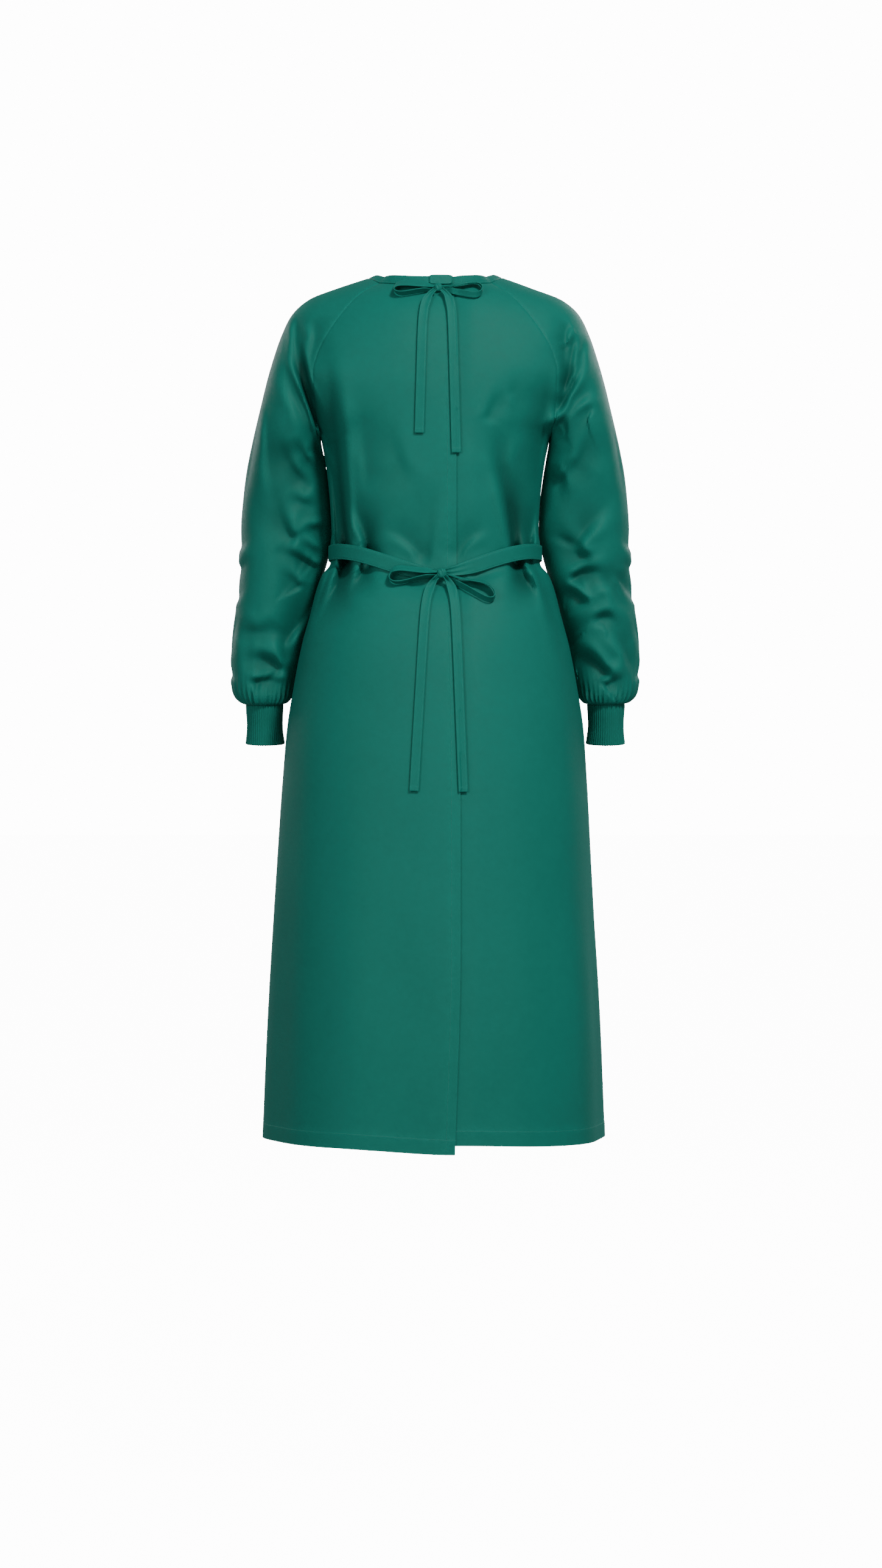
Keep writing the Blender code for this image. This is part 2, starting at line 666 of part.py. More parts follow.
def back_surface(gown):
    """A function that finds the outermost point seen from behind, of all made so far."""
    points, faces = [], []
    for obj in gown.objects:
        first = len(points)
        points += [v.co[:] for v in obj.data.vertices]
        faces += [[first + i for i in p.vertices] for p in obj.data.polygons]
    tree = BVHTree.FromPolygons(points, faces)

    def nearest(x, z):
        return tree.ray_cast((x, -1.0, z), (0, 1, 0))[0][1]

    return nearest


def make_tab(finish, gown):
    nearest = back_surface(gown)
    left, right, bottom, top = TAB
    grid = []
    for z in np.linspace(bottom, top, 3):
        on_band = min(z, top - 0.0038)
        grid.append([(x, nearest(x, on_band) - 0.0006, z) for x in np.linspace(left, right, 7)])
    inner = np.array(grid)
    outer = inner - (0, TAB_THICK, 0)
    place("neck_tab", wall_mesh("neck_tab", outer, inner, 1), finish, gown)


def make_knots(finish, gown):
    nearest = back_surface(gown)
    centres = {}
    for bow, (x, z, wide, high, deep) in BOWS.items():
        lowest = []
        for a in np.linspace(-0.95, 0.95, 9):
            for b in np.linspace(-0.95, 0.95, 9):
                if a * a + b * b < 0.98:
                    reach = deep * math.sqrt(1 - a * a - b * b)
                    lowest.append(nearest(x + a * wide, z + b * high) - reach)
        centre = Vector((x, min(lowest) - 0.0004, z))
        made = bmesh.new()
        bmesh.ops.create_uvsphere(made, u_segments=14, v_segments=8, radius=1.0)
        for vert in made.verts:
            vert.co = Vector((vert.co.x * wide, vert.co.y * deep, vert.co.z * high)) + centre
        mesh = bpy.data.meshes.new(f"{bow}_bow_knot")
        made.to_mesh(mesh)
        made.free()
        mesh.shade_smooth()
        place(f"{bow}_bow_knot", mesh, finish, gown)
        centres[bow] = centre
    return centres


def ribbon(name, grid, finish, gown, facing):
    """A strip of cloth of even thickness along a grid two or three points wide."""
    normals = shared_normals({name: grid}, {name: facing})[name]
    half = TIE_THICK / 2
    mesh = wall_mesh(name, grid + normals * half, grid - normals * half, facing)
    place(name, mesh, finish, gown)


def make_loops(nearest, finish, gown):
    for bow, hand, length, fall, opening, upper, lower in LOOPS:
        x, z, wide, high, _ = BOWS[bow]
        start = math.asin(math.sqrt((wide + 0.0004) / length))
        turn = np.linspace(start, math.pi - start, LOOP_ROWS)
        run = length * np.sin(turn) ** 2
        share = (turn - start) / (math.pi - 2 * start)
        spread = opening * np.sin(2 * turn) * np.sin(turn) ** 4
        swing = ease((share - 0.30) / 0.40)
        pinch = 0.42 + 0.58 * ease((run - wide) / 0.016)
        root = np.clip(1 - (run - wide) / 0.014, 0, 1) * (1 - 2 * share) * 0.0012
        band = (upper * (1 - swing) - lower * swing) * pinch
        deep = np.sqrt(np.maximum((TIE_WIDTH * pinch) ** 2 - band**2, 0.0016**2))
        deep *= 0.4 + 0.6 * ease((run - wide) / 0.012)
        behind = 0.0016 + 0.0012 * (1 - swing) + 0.0014 * ease((run - wide) / 0.012)
        grid = []
        for k in range(LOOP_ROWS):
            row = []
            for seen, out in ((0.0, deep[k] + behind[k]), (band[k], behind[k])):
                at_x = x + hand * run[k]
                at_z = z - fall * run[k] + spread[k] + root[k] + seen
                row.append((at_x, nearest(at_x, at_z) - out, at_z))
            grid.append(row)
        name = f"{bow}_bow_loop_" + ("left" if hand < 0 else "right")
        ribbon(name, np.array(grid), finish, gown, hand)


def make_tails(nearest, finish, gown):
    for bow, hand, length, spread, settle, slant, rise in TAILS:
        x, z, wide, high, deep = BOWS[bow]
        root = high * 0.75
        near_knot = root + np.array([0.0, 0.004, 0.009, 0.016, 0.026])
        down = np.append(near_knot, np.linspace(0.045, length, TAIL_ROWS - 5))
        side = spread * (1 - np.exp(-down / settle)) + slant * down
        middle = np.stack([x + hand * side, z - down], axis=1)
        forward = unit(np.gradient(middle, down, axis=0))
        across = np.stack([-forward[:, 1], forward[:, 0]], axis=1)
        half = TIE_WIDTH / 2 * (0.5 + 0.5 * ease((down - root) / 0.016))
        lift = 0.0016 + rise * np.exp(-(down - root) / 0.012)
        grid = []
        for k in range(TAIL_ROWS):
            row = []
            for share in (-1, 0, 1):
                px, pz = middle[k] + across[k] * half[k] * share
                near = min(nearest(px + step, pz) for step in (-0.002, 0, 0.002))
                row.append((px, near - lift[k], pz))
            grid.append(row)
        grid = np.array(grid)
        grid[..., 1] = np.minimum(grid[..., 1], grid[..., 1].mean(axis=1, keepdims=True))
        name = f"{bow}_bow_tail_" + ("left" if hand < 0 else "right")
        ribbon(name, grid, finish, gown, -1)


def clear_scene():
    for obj in list(bpy.data.objects):
        bpy.data.objects.remove(obj, do_unlink=True)


def main():
    clear_scene()
    gown = bpy.data.collections.new("surgical_gown")
    bpy.context.scene.collection.children.link(gown)
    green = material("gown_cloth", GREEN, 0.62)
    rib = material("rib_knit", RIB_GREEN, 0.8)
    grids = make_cloth(green, gown)
    make_cuffs(rib, gown)
    make_binding(grids, green, gown)
    make_belt(green, gown)
    make_tab(green, gown)
    make_knots(green, gown)
    nearest = back_surface(gown)
    make_loops(nearest, green, gown)
    make_tails(nearest, green, gown)


main()
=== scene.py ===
import math

import bmesh
import bpy
import numpy as np
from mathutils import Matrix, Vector
from mathutils.bvhtree import BVHTree


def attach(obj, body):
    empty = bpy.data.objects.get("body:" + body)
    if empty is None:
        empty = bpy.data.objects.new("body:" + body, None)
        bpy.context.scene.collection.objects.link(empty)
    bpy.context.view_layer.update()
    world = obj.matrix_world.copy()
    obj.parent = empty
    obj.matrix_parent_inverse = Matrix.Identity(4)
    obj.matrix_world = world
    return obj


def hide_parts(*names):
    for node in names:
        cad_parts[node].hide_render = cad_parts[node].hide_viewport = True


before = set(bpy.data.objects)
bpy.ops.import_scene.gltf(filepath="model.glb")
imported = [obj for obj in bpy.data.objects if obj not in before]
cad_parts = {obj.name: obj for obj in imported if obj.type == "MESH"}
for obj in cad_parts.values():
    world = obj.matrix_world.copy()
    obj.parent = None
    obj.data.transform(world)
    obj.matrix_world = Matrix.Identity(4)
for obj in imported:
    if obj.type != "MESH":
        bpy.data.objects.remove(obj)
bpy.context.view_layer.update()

# Camera and studio.
# The gown is seen from behind, level and straight on. Large soft lights stand round it, the
# strongest on the camera's side, over a plain pale floor and before a white ground.
CAMERA_PLACE = (0.0076, -4.5, -0.6664)
METRES_PER_PIXEL, PHOTO_HEIGHT, SENSOR = 0.0008, 2576, 36.0
FLOOR_HEIGHT, FLOOR_RADIUS = -1.62, 60.0
LIGHTS = (
    # name, place, aimed at, size, power, warmth
    ("key", (1.5, -3.0, 2.1), (0.0, 0.0, -0.65), 0.6, 120.0, 1.00),
    ("fill", (-1.9, -3.6, 0.5), (0.0, 0.0, -0.70), 1.6, 43.0, 1.00),
    ("low", (0.6, -3.2, -1.3), (0.0, 0.0, -0.90), 1.4, 10.0, 1.00),
    ("front_left", (-2.4, 3.2, 0.8), (0.0, 0.0, -0.50), 1.6, 40.0, 1.00),
    ("front_right", (2.0, 3.4, 1.2), (0.0, 0.0, -0.60), 1.6, 60.0, 1.00),
)


def aim(obj, place, target):
    obj.location = place
    obj.rotation_mode = "QUATERNION"
    obj.rotation_quaternion = (Vector(target) - Vector(place)).to_track_quat("-Z", "Y")


camera = bpy.data.objects.new("camera", bpy.data.cameras.new("camera"))
bpy.context.scene.collection.objects.link(camera)
camera.data.sensor_width = SENSOR
camera.data.lens = -CAMERA_PLACE[1] / (METRES_PER_PIXEL * PHOTO_HEIGHT) * SENSOR
aim(camera, CAMERA_PLACE, (CAMERA_PLACE[0], 0.0, CAMERA_PLACE[2]))
bpy.context.scene.camera = camera

for light_name, place, target, size, power, warmth in LIGHTS:
    light = bpy.data.objects.new(light_name, bpy.data.lights.new(light_name, "AREA"))
    bpy.context.scene.collection.objects.link(light)
    light.data.energy, light.data.size = power, size
    light.data.color = (1.0, 1.0, warmth)
    aim(light, place, target)

world = bpy.data.worlds.new("studio")
bpy.context.scene.world = world
world.use_nodes = True
nodes, links = world.node_tree.nodes, world.node_tree.links
lit = nodes["Background"]
lit.inputs["Color"].default_value = (0.93, 0.95, 0.97, 1)
lit.inputs["Strength"].default_value = 0.26
seen = nodes.new("ShaderNodeBackground")
seen.inputs["Color"].default_value = (1.0, 1.0, 1.0, 1)
seen.inputs["Strength"].default_value = 14.0
ray, either = nodes.new("ShaderNodeLightPath"), nodes.new("ShaderNodeMixShader")
links.new(ray.outputs["Is Camera Ray"], either.inputs["Fac"])
links.new(lit.outputs["Background"], either.inputs[1])
links.new(seen.outputs["Background"], either.inputs[2])
links.new(either.outputs["Shader"], nodes["World Output"].inputs["Surface"])

floor_mesh = bmesh.new()
bmesh.ops.create_circle(floor_mesh, cap_ends=True, segments=96, radius=FLOOR_RADIUS)
floor = bpy.data.objects.new("floor", bpy.data.meshes.new("floor"))
floor_mesh.to_mesh(floor.data)
floor_mesh.free()
floor.location = (0, 0, FLOOR_HEIGHT)
bpy.context.scene.collection.objects.link(floor)
floor_paint = bpy.data.materials.new("floor_paint")
floor_paint.use_nodes = True
floor_paint.node_tree.nodes["Principled BSDF"].inputs["Base Color"].default_value = (0.86, 0.87, 0.87, 1)
floor_paint.node_tree.nodes["Principled BSDF"].inputs["Roughness"].default_value = 0.75
floor_paint.node_tree.nodes["Principled BSDF"].inputs["Emission Color"].default_value = (1, 1, 1, 1)
floor_paint.node_tree.nodes["Principled BSDF"].inputs["Emission Strength"].default_value = 13.0
floor.visible_diffuse = floor.visible_glossy = False  # it glows for the eye alone
floor.data.materials.append(floor_paint)

# Body panels: the cut.
# One front panel and two back panels of fine twill, sewn together at the side seams. Each row
# of a panel lies on a ring of the worn form: rings below the armholes, and yoke lines above.
TORSO = (
    # height, half width, back depth, front depth
    (-1.128, 0.2232, 0.187, 0.182),
    (-1.012, 0.2188, 0.183, 0.178),
    (-0.916, 0.2144, 0.178, 0.173),
    (-0.820, 0.2088, 0.172, 0.168),
    (-0.756, 0.2048, 0.168, 0.164),
    (-0.660, 0.1995, 0.162, 0.158),
    (-0.596, 0.1950, 0.157, 0.153),
    (-0.526, 0.1835, 0.149, 0.145),
    (-0.483, 0.1745, 0.143, 0.139),
    (-0.446, 0.1645, 0.136, 0.132),
    (-0.410, 0.1555, 0.127, 0.123),
    (-0.392, 0.1485, 0.119, 0.116),
    (-0.377, 0.1378, 0.110, 0.109),
    (-0.351, 0.1376, 0.110, 0.109),
    (-0.338, 0.1360, 0.111, 0.110),
    (-0.306, 0.1375, 0.115, 0.116),
    (-0.246, 0.1440, 0.120, 0.125),
    (-0.215, 0.1500, 0.121, 0.127),
)
TORSO_SQUARE = 2.2  # 2 is an ellipse, more is squarer
YOKE = (
    # level, seam x, back seam z, front seam z, reach x, back, front, back z, front z
    (0.00, 0.1500, -0.2150, -0.2150, 0.1500, 0.1210, 0.1270, -0.2150, -0.2150),
    (0.12, 0.1550, -0.1970, -0.2000, 0.1720, 0.1205, 0.1270, -0.1920, -0.1950),
    (0.25, 0.1570, -0.1700, -0.1720, 0.1900, 0.1200, 0.1265, -0.1650, -0.1720),
    (0.40, 0.1585, -0.1350, -0.1400, 0.2115, 0.1180, 0.1250, -0.1350, -0.1480),
    (0.55, 0.1530, -0.1100, -0.1150, 0.2020, 0.1150, 0.1200, -0.1080, -0.1280),
    (0.70, 0.1390, -0.0830, -0.0900, 0.1885, 0.1100, 0.1110, -0.0830, -0.1100),
    (0.82, 0.1200, -0.0565, -0.0700, 0.1660, 0.1030, 0.0990, -0.0590, -0.0960),
    (0.92, 0.0950, -0.0300, -0.0500, 0.1255, 0.0930, 0.0860, -0.0380, -0.0840),
    (1.00, 0.0730, -0.0150, -0.0360, 0.0872, 0.0820, 0.0760, -0.0220, -0.0750),
)
YOKE_SQUARE, YOKE_SQUARE_BY = 2.3, 0.35
BELT_HEIGHT, BELT_DROP, BELT_REACH = -0.364, 0.032, 0.10
LAP_EDGE = (
    # height, x of the left panel's free edge
    (-1.134, 0.0250),
    (-0.870, 0.0325),
    (-0.620, 0.0320),
    (-0.330, 0.0275),
    (-0.110, 0.0270),
    (-0.022, 0.0240),
)
UNDER_EDGE = -0.045  # the right panel's hidden edge
HEM_LEFT_DROP, HEM_RIGHT_RISE = 0.0063, 0.0050  # at the free edges
HEM_HEIGHT, ARMHOLE_HEIGHT = TORSO[0][0], TORSO[-1][0]
HEM_DEPTH, FACING_WIDTH = 0.019, 0.0115  # from the edge to the stitches
FRONT_COLUMNS, BACK_COLUMNS = 118, 62
FACING_COLUMNS = (0.0, 0.0007, 0.0018, 0.0060, 0.0102, 0.0110, 0.0115, 0.0120, 0.0128)


def table_at(table, keys):
    """A table's columns at the given keys, on a smooth curve that never overshoots a row."""
    rows = np.array(table, float)
    x, y = rows[:, 0], rows[:, 1:]
    step = np.diff(x)[:, None]
    slope = np.diff(y, axis=0) / step
    tangent = np.zeros_like(y)
    tangent[0], tangent[-1] = slope[0], slope[-1]
    before, after = slope[:-1], slope[1:]
    agree = before * after > 0
    near, far = 2 * step[1:] + step[:-1], step[1:] + 2 * step[:-1]
    safe = np.where(agree, before, 1.0), np.where(agree, after, 1.0)
    mean = (near + far) / (near / safe[0] + far / safe[1])
    tangent[1:-1] = np.where(agree, mean, 0.0)
    keys = np.clip(np.atleast_1d(np.asarray(keys, float)), x[0], x[-1])
    k = np.clip(np.searchsorted(x, keys, side="right") - 1, 0, len(x) - 2)
    h = step[k]
    t = (keys[:, None] - x[k, None]) / h
    return (
        (2 * t**3 - 3 * t**2 + 1) * y[k]
        + (t**3 - 2 * t**2 + t) * h * tangent[k]
        + (3 * t**2 - 2 * t**3) * y[k + 1]
        + (t**3 - t**2) * h * tangent[k + 1]
    )


def ease(value):
    """0 below 0, 1 above 1, and smooth between."""
    value = np.clip(value, 0.0, 1.0)
    return value * value * (3 - 2 * value)


def unit(vectors):
    return vectors / np.maximum(np.linalg.norm(vectors, axis=-1, keepdims=True), 1e-12)


def spaced(*stops):
    """Values from stop to stop, each with the greatest step up to the next one."""
    values = [stops[0][0]]
    for (start, step), (end, _) in zip(stops, stops[1:]):
        values += list(np.linspace(start, end, math.ceil(abs(end - start) / step) + 1)[1:])
    return np.array(values)


TORSO_ROWS = spaced(
    (HEM_HEIGHT, 0.0008), (HEM_HEIGHT + 0.0016, 0.0058), (HEM_HEIGHT + 0.0178, 0.0006),
    (HEM_HEIGHT + 0.0202, 0.0062), (-0.600, 0.0042), (-0.420, 0.0030), (-0.300, 0.0034),
    (ARMHOLE_HEIGHT, 0.0),
)
YOKE_ROWS = spaced((0.0, 0.018), (0.985, 0.005), (1.0, 0.0))[1:]


def belt_drop(x, side, height):
    """How far the cloth at a level sags with the belt: most at the middle of the back."""
    if side == "front":
        return np.zeros_like(x)
    across = 1 - ease(np.abs(x) / 0.135)
    near_belt = np.exp(-(((height - BELT_HEIGHT) / BELT_REACH) ** 2))
    return BELT_DROP * across * near_belt


def torso_arc(height, side, samples=361):
    """Half a ring of the torso, from the wearer's left side seam to the right one."""
    half_width, back, front = table_at(TORSO, height)[0]
    angle = np.linspace(math.pi, 0, samples)
    power = 2 / TORSO_SQUARE
    x = half_width * np.sign(np.cos(angle)) * np.abs(np.cos(angle)) ** power
    depth = np.abs(np.sin(angle)) ** power
    y = front * depth if side == "front" else -back * depth
    z = height - belt_drop(x, side, height)
    return np.stack([x, y, z], axis=1)


def yoke_square(level):
    return TORSO_SQUARE + (YOKE_SQUARE - TORSO_SQUARE) * ease(level / YOKE_SQUARE_BY)


def yoke_arc(level, side, samples=361):
    """A line across the yoke from one raglan seam to the other."""
    seam_x, back_seam, front_seam, reach, back, front, back_z, front_z = table_at(YOKE, level)[0]
    deep, seam_z, middle_z = (
        (front, front_seam, front_z) if side == "front" else (-back, back_seam, back_z)
    )
    x = np.sin(np.linspace(-1, 1, samples) * math.pi / 2) * seam_x
    square = yoke_square(level)
    y = deep * np.maximum(1 - np.abs(x / reach) ** square, 0) ** (1 / square)
    z = middle_z + (seam_z - middle_z) * np.abs(x / seam_x) ** 2.2
    return np.stack([x, y, z], axis=1)


def along(line, places):
    """Points of a line at the given lengths, counted from where it crosses x = 0."""
    length = np.concatenate([[0], np.cumsum(np.linalg.norm(np.diff(line, axis=0), axis=1))])
    length -= np.interp(0.0, line[:, 0], length)
    return np.stack([np.interp(places(length), length, line[:, k]) for k in range(3)], axis=1)


def seam_spaced(start, end, columns):
    """Even places, with two more close to each end, where the cloth turns into its seam."""
    inside = np.linspace(start, end, columns - 3)
    sign = np.sign(end - start)
    near = np.array([0.0007, 0.0017]) * sign
    return np.concatenate([[start], start + near, inside[1:-1], (end - near)[::-1], [end]])


def front_row(line, height):
    return along(line, lambda run: seam_spaced(run[0], run[-1], FRONT_COLUMNS))


def lap_place(height):
    return table_at(LAP_EDGE, height)[0][0]


def back_left_row(line, height):
    """Up to the free edge, with close columns where the facing is stitched."""
    facing = lap_place(height) - np.array(FACING_COLUMNS[::-1])
    return along(
        line,
        lambda run: np.append(seam_spaced(run[0], facing[0], BACK_COLUMNS)[:-3], facing),
    )


def back_right_row(line, height):
    return along(line, lambda run: seam_spaced(UNDER_EDGE, run[-1], BACK_COLUMNS))


def body_grid(row, side):
    """A panel's grid of points, from the hem up to the neck seam."""
    rows = [row(torso_arc(z, side), z) for z in TORSO_ROWS]
    rows += [row(yoke_arc(s, side), table_at(YOKE, s)[0][6]) for s in YOKE_ROWS]
    return np.array(rows)


def hem_line(grid, rise):
    """Raises or lowers the hem towards the free edge, and lets the change die out upwards."""
    x, z = grid[..., 0], grid[..., 2]
    across = 1 - ease(np.abs(x - 0.03) / 0.16)
    low = np.exp(-(((z + 1.128) / 0.12) ** 2))
    grid[..., 2] += rise * across * low
    return grid


# Sleeves: the cut.
# Two raglan sleeves of the same twill, each one piece with a seam under the arm. They run up
# over the shoulder to the neck seam, and are drawn into the cuffs with small gathers.
SLEEVE = (
    # height, outer x, inner x, centre y, half depth, rise to the front
    (-0.5600, 0.2520, 0.2010, 0.0450, 0.0320, 0.10),
    (-0.5585, 0.2560, 0.1975, 0.0450, 0.0360, 0.10),
    (-0.5545, 0.2610, 0.1935, 0.0450, 0.0405, 0.10),
    (-0.5490, 0.2655, 0.1896, 0.0445, 0.0430, 0.10),
    (-0.5400, 0.2690, 0.1872, 0.0440, 0.0450, 0.10),
    (-0.5260, 0.2706, 0.1842, 0.0430, 0.0465, 0.10),
    (-0.5000, 0.2716, 0.1787, 0.0415, 0.0485, 0.10),
    (-0.4830, 0.2706, 0.1748, 0.0405, 0.0500, 0.10),
    (-0.4460, 0.2660, 0.1648, 0.0385, 0.0525, 0.08),
    (-0.4240, 0.2630, 0.1590, 0.0370, 0.0545, 0.06),
    (-0.3944, 0.2604, 0.1500, 0.0355, 0.0570, 0.04),
    (-0.3690, 0.2592, 0.1425, 0.0340, 0.0590, 0.02),
    (-0.3380, 0.2574, 0.1362, 0.0320, 0.0610, 0.00),
    (-0.3000, 0.2545, 0.1378, 0.0280, 0.0625, 0.00),
    (-0.2600, 0.2490, 0.1422, 0.0180, 0.0625, 0.00),
    (-0.2090, 0.2370, 0.1500, 0.0000, 0.0600, 0.00),
)
SHOULDER = (
    # level, x, z of the top of the shoulder and upper arm
    (0.00, 0.2370, -0.2030),
    (0.12, 0.2310, -0.1780),
    (0.25, 0.2235, -0.1470),
    (0.40, 0.2135, -0.1120),
    (0.55, 0.2020, -0.0780),
    (0.70, 0.1885, -0.0510),
    (0.82, 0.1660, -0.0315),
    (0.92, 0.1255, -0.0165),
    (1.00, 0.0872, -0.0030),
)
ARM_TILT, ARM_DEPTH, ARM_BLENDS_BY = 0.006, 0.060, 0.5
GATHERS, GATHER_DEPTH, GATHER_LENGTH = 34, 0.0016, 0.0075
SLEEVE_COLUMNS = 150
SLEEVE_ROWS = spaced(
    (-0.5600, 0.0009), (-0.5450, 0.0018), (-0.5200, 0.0026), (-0.2090, 0.0)
)


def arm_ring(turn, height):
    """A closed ring of the sleeve; turn is 0 at the outer side and +-pi at the seam inside."""
    outer, inner, centre_y, depth, rise = table_at(SLEEVE, height)[0]
    x = (outer + inner) / 2 + (outer - inner) / 2 * np.cos(turn)
    y = centre_y + depth * np.sin(turn)
    tilt = ARM_TILT * ease((height + 0.30) / 0.091)
    z = height + (y - centre_y) * rise + tilt * np.cos(turn)
    return np.stack([x, y, z], axis=1)


def shoulder_ring(turn, level):
    """A line of the sleeve over the shoulder, from the back raglan seam to the front one."""
    top_x, top_z = table_at(SHOULDER, level)[0]
    inner_x = SLEEVE[-1][2]
    middle_z = (top_z + ARMHOLE_HEIGHT + 0.10 * level) / 2
    arm = np.stack(
        [
            (top_x + inner_x) / 2 + (top_x - inner_x) / 2 * np.cos(turn),
            ARM_DEPTH * np.sin(turn),
            middle_z + (top_z - middle_z) * np.cos(turn),
        ],
        axis=1,
    )
    seam_x, back_seam, front_seam, _, back, front, _, _ = table_at(YOKE, level)[0]
    share, square = np.abs(turn) / math.pi, yoke_square(level)
    widest = math.acos(min(1.0, (seam_x / top_x) ** (square / 2)))
    depth = np.where(turn < 0, -back, front) * np.sin(share * widest) ** (2 / square)
    seam_z = np.where(turn < 0, back_seam, front_seam)
    over = np.stack(
        [
            top_x * np.cos(share * widest) ** (2 / square),
            depth,
            top_z + (seam_z - top_z) * share**1.7,
        ],
        axis=1,
    )
    mix = ease(level / ARM_BLENDS_BY)
    ring = arm * (1 - mix) + over * mix
    ends = {-1: yoke_arc(level, "back", 3)[-1], 1: yoke_arc(level, "front", 3)[-1]}
    for sign, seam in ends.items():
        at = 0 if sign < 0 else -1
        pull = np.where(np.sign(turn) == sign, share, 0.0) ** 3
        ring = ring + pull[:, None] * (seam - ring[at])
    return ring


def gathers(turn, height):
    """The waves that the cuff draws into the sleeve's end, uneven from one to the next."""
    up = (height - SLEEVE[0][0]) / GATHER_LENGTH + 0.15
    uneven = 1 + 0.35 * np.sin(5 * turn + 0.7) + 0.25 * np.sin(11 * turn + 2.1)
    wave = np.cos(GATHERS * turn + 1.3 * np.sin(3 * turn) + 0.8 * np.sin(7 * turn + 1.0))
    return GATHER_DEPTH * up * math.exp(1 - up) * wave * uneven


def sleeve_grid():
    """The wearer's right sleeve, from the cuff up over the shoulder to the neck seam."""
    turn = seam_spaced(-math.pi, math.pi, SLEEVE_COLUMNS)
    turn[1:3], turn[-3:-1] = (-math.pi + 0.014, -math.pi + 0.034), (math.pi - 0.034, math.pi - 0.014)
    rows = []
    for height in SLEEVE_ROWS:
        ring = arm_ring(turn, height)
        centre = ring[:-1].mean(axis=0)
        ring += unit(ring - centre) * gathers(turn, height)[:, None]
        rows.append(ring)
    rows += [shoulder_ring(turn, level) for level in YOKE_ROWS]
    return np.array(rows)


